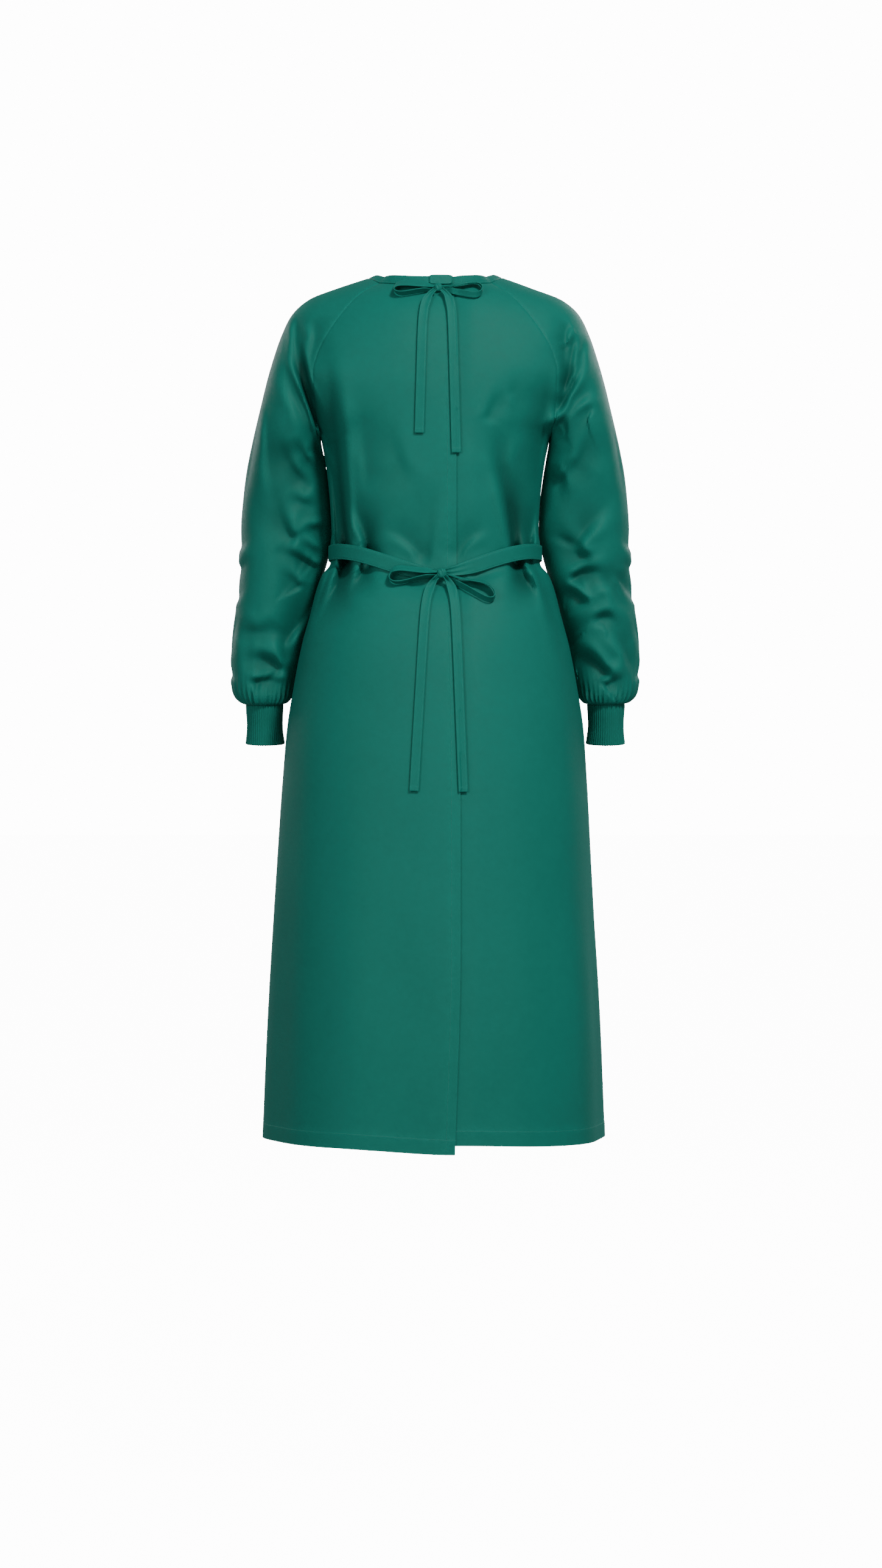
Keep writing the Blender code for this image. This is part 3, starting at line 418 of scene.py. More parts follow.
# Folds and creases.
# The belt pinches pleats into the cloth, the arms pull long folds from the armholes, and the
# sleeves crumple at the elbow and above the cuffs. Each is a soft trough with a raised bank.
PINCHES = (
    # side, x, depth, width, length above, length below
    ("back", -0.1150, 0.0110, 0.0060, 0.130, 0.090),
    ("back", -0.0857, 0.0080, 0.0050, 0.060, 0.055),
    ("back", 0.1030, 0.0100, 0.0058, 0.110, 0.085),
    ("back", 0.1229, 0.0085, 0.0050, 0.065, 0.070),
    ("front", -0.1150, 0.0100, 0.0058, 0.090, 0.085),
    ("front", -0.0760, 0.0080, 0.0055, 0.070, 0.060),
    ("front", 0.0830, 0.0080, 0.0055, 0.060, 0.070),
    ("front", 0.1160, 0.0100, 0.0058, 0.095, 0.080),
)
BODY_CREASES = (
    # side, from x, z, through x, z, to x, z, half width, depth, bank, deepest at
    ("back", -0.068, -0.335, -0.040, -0.350, -0.016, -0.378, 0.0085, 0.0045, -1, 0.75),
    ("back", 0.070, -0.333, 0.045, -0.348, 0.028, -0.376, 0.0085, 0.0045, 1, 0.75),
    ("back", -0.143, -0.120, -0.128, -0.240, -0.1145, -0.374, 0.0095, 0.0235, 1, 0.84),
    ("back", -0.138, -0.250, -0.131, -0.309, -0.126, -0.372, 0.0060, 0.0070, -1, 0.80),
    ("back", -0.104, -0.300, -0.093, -0.335, -0.0850, -0.376, 0.0080, 0.0120, -1, 0.82),
    ("back", -0.093, -0.160, -0.090, -0.223, -0.085, -0.285, 0.0140, 0.0037, -1, 0.70),
    ("back", -0.068, -0.207, -0.052, -0.242, -0.037, -0.285, 0.0150, 0.0030, 1, 0.60),
    ("back", -0.002, -0.285, -0.008, -0.324, -0.012, -0.380, 0.0120, 0.0040, 1, 0.80),
    ("back", 0.080, -0.225, 0.094, -0.300, 0.1035, -0.374, 0.0085, 0.0180, -1, 0.84),
    ("back", 0.087, -0.207, 0.085, -0.242, 0.089, -0.285, 0.0140, 0.0044, 1, 0.60),
    ("back", 0.132, -0.285, 0.127, -0.325, 0.1225, -0.374, 0.0080, 0.0130, 1, 0.82),
    ("back", 0.067, -0.199, 0.078, -0.178, 0.095, -0.160, 0.0090, 0.0037, 1, 0.25),
    ("back", 0.095, -0.160, 0.106, -0.170, 0.117, -0.199, 0.0120, 0.0030, -1, 0.40),
    ("back", 0.147, -0.121, 0.140, -0.207, 0.131, -0.285, 0.0100, 0.0088, 1, 0.60),
    ("back", -0.1170, -0.358, -0.128, -0.410, -0.152, -0.460, 0.0090, 0.0190, -1, 0.28),
    ("back", -0.0890, -0.362, -0.095, -0.394, -0.106, -0.424, 0.0075, 0.0140, -1, 0.34),
    ("back", -0.134, -0.378, -0.151, -0.430, -0.164, -0.473, 0.0065, 0.0069, -1, 0.30),
    ("back", 0.1050, -0.360, 0.117, -0.400, 0.138, -0.432, 0.0085, 0.0180, 1, 0.32),
    ("back", 0.128, -0.375, 0.149, -0.434, 0.181, -0.533, 0.0085, 0.0094, -1, 0.25),
    ("back", 0.049, -0.395, 0.059, -0.412, 0.071, -0.440, 0.0120, 0.0035, -1, 0.30),
    ("front", -0.138, -0.150, -0.124, -0.225, -0.112, -0.374, 0.0110, 0.0106, -1, 0.60),
    ("front", -0.104, -0.180, -0.090, -0.250, -0.078, -0.374, 0.0130, 0.0063, -1, 0.75),
    ("front", 0.136, -0.160, 0.126, -0.240, 0.114, -0.374, 0.0110, 0.0100, 1, 0.65),
    ("front", 0.100, -0.215, 0.092, -0.280, 0.083, -0.374, 0.0110, 0.0063, 1, 0.75),
    ("front", 0.040, -0.240, 0.030, -0.300, 0.026, -0.352, 0.0120, 0.0037, -1, 0.75),
    ("front", -0.030, -0.130, -0.010, -0.150, 0.020, -0.152, 0.0140, 0.0032, -1, 0.50),
    ("front", -0.113, -0.360, -0.126, -0.410, -0.142, -0.458, 0.0080, 0.0100, 1, 0.25),
    ("front", -0.076, -0.360, -0.082, -0.400, -0.094, -0.425, 0.0075, 0.0069, 1, 0.25),
    ("front", 0.082, -0.360, 0.088, -0.402, 0.096, -0.432, 0.0075, 0.0069, -1, 0.25),
    ("front", 0.116, -0.360, 0.132, -0.415, 0.158, -0.480, 0.0080, 0.0100, -1, 0.25),
    ("front", 0.020, -0.375, 0.024, -0.410, 0.022, -0.450, 0.0100, 0.0037, -1, 0.25),
)
LEFT_SLEEVE_CREASES = (
    # side, from x, z, through x, z, to x, z, half width, depth, bank, deepest at
    ("back", -0.178, -0.056, -0.181, -0.091, -0.173, -0.135, 0.0074, 0.0065, -1, 0.45),
    ("back", -0.176, -0.098, -0.166, -0.140, -0.153, -0.180, 0.0042, 0.0110, 1, 0.55),
    ("back", -0.184, -0.112, -0.166, -0.164, -0.143, -0.230, 0.0046, 0.0150, -1, 0.60),
    ("back", -0.159, -0.063, -0.156, -0.091, -0.162, -0.130, 0.0096, 0.0057, -1, 0.45),
    ("back", -0.190, -0.111, -0.183, -0.161, -0.155, -0.216, 0.0132, 0.0059, -1, 0.60),
    ("back", -0.160, -0.220, -0.148, -0.234, -0.140, -0.262, 0.0055, 0.0120, 1, 0.45),
    ("back", -0.181, -0.221, -0.170, -0.244, -0.150, -0.266, 0.0102, 0.0085, 1, 0.45),
    ("back", -0.207, -0.214, -0.191, -0.252, -0.164, -0.283, 0.0144, 0.0085, 1, 0.60),
    ("back", -0.190, -0.292, -0.170, -0.302, -0.150, -0.303, 0.0120, 0.0059, 1, 0.40),
    ("back", -0.213, -0.150, -0.217, -0.228, -0.207, -0.305, 0.0102, 0.0043, -1, 0.50),
    ("back", -0.215, -0.363, -0.183, -0.371, -0.155, -0.384, 0.0090, 0.0101, 1, 0.78),
    ("back", -0.211, -0.270, -0.204, -0.318, -0.186, -0.347, 0.0126, 0.0089, 1, 0.80),
    ("back", -0.167, -0.342, -0.153, -0.332, -0.133, -0.339, 0.0096, 0.0083, 1, 0.45),
    ("back", -0.179, -0.356, -0.163, -0.361, -0.150, -0.371, 0.0120, 0.0065, 1, 0.50),
    ("back", -0.208, -0.394, -0.191, -0.399, -0.180, -0.410, 0.0108, 0.0065, 1, 0.75),
    ("back", -0.147, -0.398, -0.172, -0.440, -0.200, -0.480, 0.0132, 0.0127, 1, 0.75),
    ("back", -0.195, -0.477, -0.196, -0.502, -0.185, -0.532, 0.0084, 0.0077, -1, 0.55),
    ("back", -0.256, -0.511, -0.225, -0.504, -0.203, -0.519, 0.0108, 0.0101, 1, 0.78),
    ("back", -0.239, -0.535, -0.215, -0.532, -0.191, -0.543, 0.0090, 0.0083, 1, 0.25),
    ("back", -0.261, -0.471, -0.236, -0.469, -0.211, -0.474, 0.0180, 0.0065, 1, 0.50),
)
RIGHT_SLEEVE_CREASES = (
    # side, from x, z, through x, z, to x, z, half width, depth, bank, deepest at
    ("back", 0.175, -0.069, 0.168, -0.091, 0.165, -0.141, 0.0072, 0.0062, 1, 0.40),
    ("back", 0.175, -0.089, 0.177, -0.108, 0.163, -0.158, 0.0078, 0.0077, 1, 0.50),
    ("back", 0.191, -0.084, 0.190, -0.104, 0.181, -0.121, 0.0102, 0.0054, 1, 0.50),
    ("back", 0.190, -0.115, 0.175, -0.153, 0.154, -0.188, 0.0070, 0.0107, 1, 0.60),
    ("back", 0.181, -0.123, 0.171, -0.143, 0.162, -0.162, 0.0050, 0.0063, 1, 0.50),
    ("back", 0.199, -0.148, 0.185, -0.171, 0.159, -0.192, 0.0120, 0.0071, 1, 0.60),
    ("back", 0.203, -0.183, 0.185, -0.191, 0.160, -0.233, 0.0114, 0.0071, -1, 0.30),
    ("back", 0.172, -0.195, 0.159, -0.200, 0.147, -0.215, 0.0078, 0.0095, -1, 0.45),
    ("back", 0.207, -0.205, 0.194, -0.238, 0.175, -0.268, 0.0144, 0.0065, -1, 0.60),
    ("back", 0.170, -0.270, 0.157, -0.266, 0.142, -0.253, 0.0102, 0.0083, -1, 0.40),
    ("back", 0.234, -0.285, 0.202, -0.322, 0.183, -0.353, 0.0132, 0.0095, 1, 0.82),
    ("back", 0.150, -0.324, 0.172, -0.354, 0.201, -0.375, 0.0126, 0.0083, 1, 0.75),
    ("back", 0.179, -0.401, 0.199, -0.390, 0.227, -0.397, 0.0096, 0.0107, 1, 0.30),
    ("back", 0.219, -0.394, 0.243, -0.415, 0.259, -0.447, 0.0156, 0.0083, -1, 0.35),
    ("back", 0.157, -0.419, 0.177, -0.415, 0.195, -0.430, 0.0090, 0.0095, 1, 0.75),
    ("back", 0.212, -0.457, 0.224, -0.448, 0.242, -0.467, 0.0102, 0.0083, 1, 0.35),
    ("back", 0.235, -0.460, 0.254, -0.492, 0.267, -0.529, 0.0126, 0.0083, -1, 0.50),
    ("back", 0.180, -0.499, 0.202, -0.502, 0.228, -0.526, 0.0102, 0.0107, 1, 0.75),
    ("back", 0.223, -0.540, 0.236, -0.533, 0.254, -0.528, 0.0090, 0.0083, 1, 0.30),
    ("back", 0.167, -0.454, 0.175, -0.474, 0.185, -0.485, 0.0102, 0.0083, -1, 0.60),
    ("back", 0.242, -0.387, 0.249, -0.402, 0.261, -0.416, 0.0090, 0.0054, -1, 0.50),
)
OUTER_CREASES = (
    # from y, z, through y, z, to y, z, half width, depth, bank, deepest at
    (-0.035, -0.190, -0.012, -0.230, 0.000, -0.285, 0.0120, 0.0050, 1, 0.60),
    (0.045, -0.170, 0.038, -0.220, 0.044, -0.270, 0.0110, 0.0045, -1, 0.50),
    (-0.020, -0.330, 0.012, -0.350, 0.052, -0.348, 0.0110, 0.0065, -1, 0.70),
    (-0.012, -0.372, 0.020, -0.382, 0.060, -0.372, 0.0090, 0.0070, 1, 0.65),
    (0.000, -0.402, 0.030, -0.420, 0.066, -0.418, 0.0100, 0.0060, -1, 0.60),
    (0.010, -0.450, 0.032, -0.470, 0.040, -0.505, 0.0110, 0.0055, 1, 0.50),
    (0.075, -0.470, 0.058, -0.490, 0.050, -0.520, 0.0100, 0.0055, -1, 0.60),
    (0.012, -0.528, 0.040, -0.522, 0.070, -0.532, 0.0080, 0.0060, -1, 0.50),
)
HIDDEN_FOLD_SHIFT = -0.014  # the front of each sleeve folds like the other one's back, lower
BANK_SHARE, BANK_AT = 0.30, 1.7  # a bank's height and place, in depths and half widths
OUTER_SHARE = 0.35
RIPPLE_DEPTH = 0.0007
FLUTE_DEPTH = 0.0030


def grid_faces(rows, columns, first=0):
    """Quads of a grid of points, wound so that a grid running left to right faces its viewer."""
    corner = (first + np.arange(rows - 1)[:, None] * columns + np.arange(columns - 1)).ravel()
    return np.stack([corner, corner + 1, corner + columns + 1, corner + columns], axis=1)


def shared_normals(grids, facing):
    """Normals at every grid point, the same on both sides of each seam."""
    points = np.concatenate([grid.reshape(-1, 3) for grid in grids.values()])
    _, same = np.unique(np.round(points, 5), axis=0, return_inverse=True)
    same = same.ravel()
    sums = np.zeros((same.max() + 1, 3))
    first = 0
    for name, grid in grids.items():
        faces = grid_faces(*grid.shape[:2], first)
        corner = points[faces]
        normal = np.cross(corner[:, 2] - corner[:, 0], corner[:, 3] - corner[:, 1]) * facing[name]
        for k in range(4):
            np.add.at(sums, same[faces[:, k]], normal)
        first += grid.shape[0] * grid.shape[1]
    normals, first, made = unit(sums)[same], 0, {}
    for name, grid in grids.items():
        count = grid.shape[0] * grid.shape[1]
        made[name] = normals[first : first + count].reshape(grid.shape)
        first += count
    return made


def crease_depth(place, crease):
    """How deep one crease presses in at each place. It drops in steeply from a low bank on one
    side, left of its path where bank is 1, and comes up gently on the other."""
    *corners, half_width, depth, bank, deepest = crease
    start, through, end = np.array(corners).reshape(3, 2)
    t = np.linspace(-0.14, 1.14, 25)[:, None]
    middle = 2 * through - (start + end) / 2
    path = (1 - t) ** 2 * start + 2 * t * (1 - t) * middle + t**2 * end
    reach = half_width * 5
    near = np.all((place > path.min(0) - reach) & (place < path.max(0) + reach), axis=-1)
    found = np.zeros(place.shape[:-1])
    spots = place[near][:, None]
    if not len(spots):
        return found
    run = np.diff(path, axis=0)
    share = np.clip(((spots - path[:-1]) * run).sum(-1) / (run**2).sum(-1), 0, 1)
    away = spots - path[:-1] - share[..., None] * run
    distance = np.linalg.norm(away, axis=-1)
    best = distance.argmin(axis=1)
    pick = np.arange(len(best)), best
    side = np.sign(run[best, 0] * away[pick][:, 1] - run[best, 1] * away[pick][:, 0])
    at = (best + share[pick]) / len(run)
    fade = ease(np.where(at < deepest, at / deepest, (1 - at) / (1 - deepest)) * 1.25)
    across = distance[pick] / (half_width * (0.55 + 1.10 * np.abs(at - deepest))) * side * bank
    trough = np.where(
        across > 0, np.exp(-((np.abs(across) / 0.85) ** 2)), np.exp(-((np.abs(across) / 2.6) ** 1.7))
    )
    raised = np.exp(-(((across - BANK_AT) / 0.9) ** 2)) * BANK_SHARE
    found[near] = depth * fade * (trough - raised)
    return found


def pinches(x, z, side):
    """How deep the pleats press in that fan out above and below the belt."""
    depth = np.zeros(x.shape)
    above = z - (BELT_HEIGHT - belt_drop(x, side, BELT_HEIGHT))
    for where, at, deep, width, up, down in PINCHES:
        if where != side:
            continue
        reach = np.where(above > 0, up, down)
        fade = np.clip(1 - np.abs(above) / reach, 0, 1) ** 1.5
        spread = width * (0.55 + np.abs(above) / 0.035)
        slant = at * (1 + np.where(above > 0, 0.15, 0.9) * np.abs(above))
        depth += deep * fade * np.exp(-(((x - slant) / spread) ** 2))
    return depth


def ripple(points, wavelength, waves=10):
    """A low uneven swell all over, the same each time."""
    random = np.random.default_rng(7)
    direction = unit(random.normal(size=(waves, 3))) * (1, 1, 0.45)
    turn = random.uniform(0, 2 * math.pi, waves)
    stretch = random.uniform(0.6, 1.5, waves)
    phase = points @ (direction * (2 * math.pi / wavelength / stretch[:, None])).T + turn
    return np.sin(phase).sum(-1) / math.sqrt(waves)


def flutes(points):
    """The skirt's upright waves, deeper towards the hem."""
    turn = np.arctan2(points[..., 1] / 0.185, points[..., 0] / 0.22)
    wave = np.cos(5 * turn + 0.6) + 0.7 * np.cos(8 * turn + 2.0) + 0.45 * np.cos(13 * turn + 4.1)
    return FLUTE_DEPTH * wave / 1.6 * ease((-0.46 - points[..., 2]) / 0.55)


def mirrored(creases, shift):
    """The same creases for the other side of the other sleeve."""
    return [
        ("front", -x0, z0 + shift, -x1, z1 + shift, -x2, z2 + shift, width, deep, -bank, at)
        for _, x0, z0, x1, z1, x2, z2, width, deep, bank, at in creases
    ]


def folded(grids, facing):
    """The panels and sleeves with every fold set in, alike on both sides of each seam. Also returns the
    painted shade that darkens the cloth's colour in its folds.
    """
    normals = shared_normals(grids, facing)
    creases = [
        *BODY_CREASES,
        *LEFT_SLEEVE_CREASES,
        *RIGHT_SLEEVE_CREASES,
        *mirrored(LEFT_SLEEVE_CREASES, HIDDEN_FOLD_SHIFT),
        *mirrored(RIGHT_SLEEVE_CREASES, HIDDEN_FOLD_SHIFT),
    ]
    made, painted_fold_shade = {}, {}
    for name, grid in grids.items():
        x, y, z = grid[..., 0], grid[..., 1], grid[..., 2]
        normal = normals[name]
        sleeve = name.startswith("sleeve")
        side = "front" if name == "front" else "back"
        from_belt = np.abs(z - BELT_HEIGHT + belt_drop(x, side, BELT_HEIGHT))
        free = 1.0 if sleeve else ease((from_belt - 0.010) / 0.025)
        moved, fold_shade_depth = np.zeros(grid.shape), np.zeros(x.shape)
        for side, inwards in (("back", 1), ("front", -1)):
            deep = sum(crease_depth(grid[..., [0, 2]], c[1:]) for c in creases if c[0] == side)
            if not sleeve:
                deep = deep + pinches(x, z, side)
            deep = np.where(deep < 0, deep * free, deep) * np.clip(-normal[..., 1] * inwards * 3, 0, 1)
            moved[..., 1] += deep * inwards
            # Painted shade: the deeper a fold, the darker the cloth's colour is painted there.
            fold_shade_depth += deep * np.clip(-normal[..., 1] * inwards * 1.8 - 0.4, 0, 1)
        outwards = np.abs(normal[..., 0]) * (np.sign(normal[..., 0]) == np.sign(x)) * sleeve
        deep = sum(crease_depth(grid[..., [1, 2]], c) for c in OUTER_CREASES)
        moved -= normal * (deep * np.clip(outwards * 3 - 1.6, 0, 1) * OUTER_SHARE)[..., None]
        swell = ripple(grid, 0.11) * RIPPLE_DEPTH
        if not sleeve:
            swell = swell + flutes(grid)
        made[name] = grid + moved - normal * (swell * free)[..., None]
        painted_fold_shade[name] = np.clip(fold_shade_depth / PAINTED_SHADE_FULL_DEPTH, 0, 1) ** 1.2
    return made, painted_fold_shade


# Body panels and sleeves: the cloth.
# Green twill of polyester and cotton, dyed in the piece, with a soft sheen. The panels are
# turned in at their seams, hemmed below, and faced along the back opening.
CLOTH = 0.0009
LAP_STEP = 0.0028  # how far the right back panel lies behind the left one
HEM_STEP = 0.0003  # the doubled cloth of hem and facing stands out by this
SEAM_ROLL, SEAM_ROLL_WIDTH = 0.0009, 0.0014
GREEN = (0.0030, 0.1600, 0.1200)
LEFT, RIGHT = -1, 1
PAINTED_SHADE_IN_FOLDS, PAINTED_SHADE_FULL_DEPTH = 0.55, 0.018  # painted shade darkens the cloth's colour in its folds, fully at this depth


def edge_distances(grid, edges):
    """Each point's distance from the nearest of the named edges, along its row or column."""
    across = np.cumsum(np.linalg.norm(np.diff(grid, axis=1, prepend=grid[:, :1]), axis=-1), axis=1)
    up = np.cumsum(np.linalg.norm(np.diff(grid, axis=0, prepend=grid[:1]), axis=-1), axis=0)
    options = {
        "first_column": across,
        "last_column": across[:, -1:] - across,
        "first_row": up,
        "last_row": up[-1:] - up,
    }
    return np.min([options[edge] for edge in edges], axis=0)


def eased_across(grid, seams, joint):
    """Takes the kink out of a piece where its upper rings start, and leaves its seams alone."""
    columns = [seam for seam in seams if "column" in seam]
    free = ease(edge_distances(grid, columns) / 0.03) if columns else np.ones(grid.shape[:2])
    up = np.cumsum(np.linalg.norm(np.diff(grid, axis=0, prepend=grid[:1]), axis=-1), axis=0)
    near = np.exp(-(((up - up[joint]) / 0.030) ** 2))
    share = (free * near)[1:-1, :, None] * 0.5
    below, above = np.diff(up, axis=0)[:-1, :, None], np.diff(up, axis=0)[1:, :, None]
    for _ in range(60):
        between = (grid[:-2] * above + grid[2:] * below) / (above + below)
        grid[1:-1] += (between - grid[1:-1]) * share
    return grid


def link(tree, source, target):
    tree.links.new(source, target)


def add_node(tree, kind, inputs=(), **settings):
    """A new node with its settings, and values or links for its inputs."""
    node = tree.nodes.new(kind)
    for key, value in settings.items():
        setattr(node, key, value)
    for key, value in dict(inputs).items():
        if isinstance(value, bpy.types.NodeSocket):
            tree.links.new(value, node.inputs[key])
        else:
            node.inputs[key].default_value = value
    return node


def maths(tree, operation, *values):
    node = add_node(tree, "ShaderNodeMath", dict(enumerate(values)), operation=operation)
    return node.outputs[0]


def new_group(name, inputs, outputs):
    """A shader node group with named sockets; an input is (name, kind, default)."""
    tree = bpy.data.node_groups.new(name, "ShaderNodeTree")
    for socket, kind, default in inputs:
        made = tree.interface.new_socket(socket, in_out="INPUT", socket_type="NodeSocket" + kind)
        if default is not None:
            made.default_value = default
    for socket, kind in outputs:
        tree.interface.new_socket(socket, in_out="OUTPUT", socket_type="NodeSocket" + kind)
    return tree, tree.nodes.new("NodeGroupInput"), tree.nodes.new("NodeGroupOutput")


def place_group(tree, group, inputs):
    node = tree.nodes.new("ShaderNodeGroup")
    node.node_tree = group
    for key, value in inputs.items():
        if isinstance(value, bpy.types.NodeSocket):
            tree.links.new(value, node.inputs[key])
        else:
            node.inputs[key].default_value = value
    return node


def make_twill():
    """Fine slanted ribs of a 2/1 twill, crossed by its yarns. The map is in metres of cloth. Its tone is
    painted shade: lighter on the ribs, darker between them.
    """
    tree, given, result = new_group(
        "twill",
        [("Map", "Vector", None), ("Rib", "Float", 0.0008), ("Slant", "Float", 1.0)],
        [("Height", "Float"), ("Tone", "Float")],
    )
    parts = add_node(tree, "ShaderNodeSeparateXYZ", {0: given.outputs["Map"]})
    across, up = parts.outputs["X"], parts.outputs["Y"]
    slanted = maths(tree, "ADD", maths(tree, "MULTIPLY", across, given.outputs["Slant"]), up)
    turn = maths(tree, "DIVIDE", maths(tree, "MULTIPLY", slanted, 2 * math.pi), given.outputs["Rib"])
    rib = maths(tree, "SINE", turn)
    yarn_turn = maths(tree, "DIVIDE", maths(tree, "MULTIPLY", across, 4 * math.pi), given.outputs["Rib"])
    yarn = maths(tree, "MULTIPLY", maths(tree, "SINE", yarn_turn), 0.45)
    height = maths(tree, "ADD", rib, yarn)
    slub = add_node(
        tree, "ShaderNodeTexNoise", {"Vector": given.outputs["Map"], "Scale": 1400.0, "Detail": 1.0}
    )
    uneven = maths(tree, "MULTIPLY", maths(tree, "SUBTRACT", slub.outputs["Fac"], 0.5), 2.0)
    link(tree, maths(tree, "ADD", height, uneven), result.inputs["Height"])
    # Tone is painted shade: lighter on the ribs, darker between them.
    link(tree, maths(tree, "MULTIPLY_ADD", rib, 0.5, 0.5), result.inputs["Tone"])
    return tree


def make_cloth_wear_and_fold_shade():
    """Slight unevenness of dye, paler rubbed edges, and puckers along what is sewn; also painted shade, darker
    in the cloth's folds and between the ribs of its weave or knit.
    """
    tree, given, result = new_group(
        "cloth_wear_and_fold_shade",
        [
            ("Colour", "Color", (0.5, 0.5, 0.5, 1)),
            ("Place", "Vector", None),
            ("Seam", "Float", 0.0),
            ("Tone", "Float", 0.5),
            ("Rubbed", "Float", 0.3),
            ("Painted Fold Shade", "Float", 0.0),
        ],
        [("Colour", "Color"), ("Roughness", "Float"), ("Pucker", "Float")],
    )
    cloud = add_node(
        tree, "ShaderNodeTexNoise", {"Vector": given.outputs["Place"], "Scale": 7.0, "Detail": 3.0}
    )
    fine = add_node(
        tree, "ShaderNodeTexNoise", {"Vector": given.outputs["Place"], "Scale": 90.0, "Detail": 3.0}
    )
    shade = maths(
        tree, "ADD", maths(tree, "MULTIPLY", maths(tree, "SUBTRACT", cloud.outputs["Fac"], 0.5), 0.20),
        maths(tree, "MULTIPLY", maths(tree, "SUBTRACT", fine.outputs["Fac"], 0.5), 0.10),
    )
    # Painted shade of the weave and knit: lighter on their ribs, darker between them, by the tone input.
    shade = maths(tree, "ADD", shade, maths(tree, "MULTIPLY_ADD", given.outputs["Tone"], 0.10, 0.95))
    rubbed = maths(tree, "MULTIPLY", given.outputs["Seam"], given.outputs["Rubbed"])
    rubbed = maths(tree, "MULTIPLY", rubbed, fine.outputs["Fac"])
    # Painted shade: the colour is darkened in the cloth's folds.
    deep = maths(tree, "MULTIPLY_ADD", given.outputs["Painted Fold Shade"], -PAINTED_SHADE_IN_FOLDS, 1.0)
    value = maths(tree, "MULTIPLY", maths(tree, "ADD", shade, rubbed), deep)
    tint = add_node(tree, "ShaderNodeHueSaturation", {"Value": value, "Color": given.outputs["Colour"]})
    link(tree, tint.outputs["Color"], result.inputs["Colour"])
    rough = maths(tree, "MULTIPLY_ADD", fine.outputs["Fac"], 0.10, 0.50)
    link(tree, rough, result.inputs["Roughness"])
    pucker = add_node(
        tree, "ShaderNodeTexNoise", {"Vector": given.outputs["Place"], "Scale": 190.0, "Detail": 1.0}
    )
    link(tree, maths(tree, "MULTIPLY", pucker.outputs["Fac"], given.outputs["Seam"]), result.inputs["Pucker"])
    return tree


TWILL, CLOTH_WEAR_AND_FOLD_SHADE = make_twill(), make_cloth_wear_and_fold_shade()


def cloth_material(name, colour, rib, sheen, rubbed):
    """Twill cloth: weave, wear and painted shade from the groups, sheen and gloss on the shader itself."""
    made = bpy.data.materials.new(name)
    made.use_nodes = True
    tree = made.node_tree
    shader = tree.nodes["Principled BSDF"]
    cloth_map = add_node(tree, "ShaderNodeUVMap", uv_map="cloth")
    place = add_node(tree, "ShaderNodeTexCoord")
    seam = add_node(tree, "ShaderNodeAttribute", attribute_name="seam")
    # The "fold" attribute carries painted shade: darker colour in the cloth's folds.
    fold = add_node(tree, "ShaderNodeAttribute", attribute_name="fold")
    weave = place_group(tree, TWILL, {"Map": cloth_map.outputs["UV"], "Rib": rib})
    wear_and_shade = place_group(
        tree,
        CLOTH_WEAR_AND_FOLD_SHADE,
        {
            "Colour": (*colour, 1),
            "Place": place.outputs["Object"],
            "Seam": seam.outputs["Fac"],
            "Tone": weave.outputs["Tone"],
            "Rubbed": rubbed,
            "Painted Fold Shade": fold.outputs["Fac"],
        },
    )
    link(tree, wear_and_shade.outputs["Colour"], shader.inputs["Base Color"])
    link(tree, wear_and_shade.outputs["Roughness"], shader.inputs["Roughness"])
    woven = add_node(
        tree, "ShaderNodeBump", {"Height": weave.outputs["Height"], "Distance": 0.00004, "Strength": 0.55}
    )
    sewn = add_node(
        tree,
        "ShaderNodeBump",
        {
            "Height": wear_and_shade.outputs["Pucker"],
            "Distance": 0.0009,
            "Strength": 0.6,
            "Normal": woven.outputs["Normal"],
        },
    )
    link(tree, sewn.outputs["Normal"], shader.inputs["Normal"])
    shader.inputs["Specular IOR Level"].default_value = 0.15
    shader.inputs["Sheen Weight"].default_value = sheen
    shader.inputs["Sheen Roughness"].default_value = 0.45
    shader.inputs["Sheen Tint"].default_value = (0.10, 0.85, 0.70, 1)
    return made


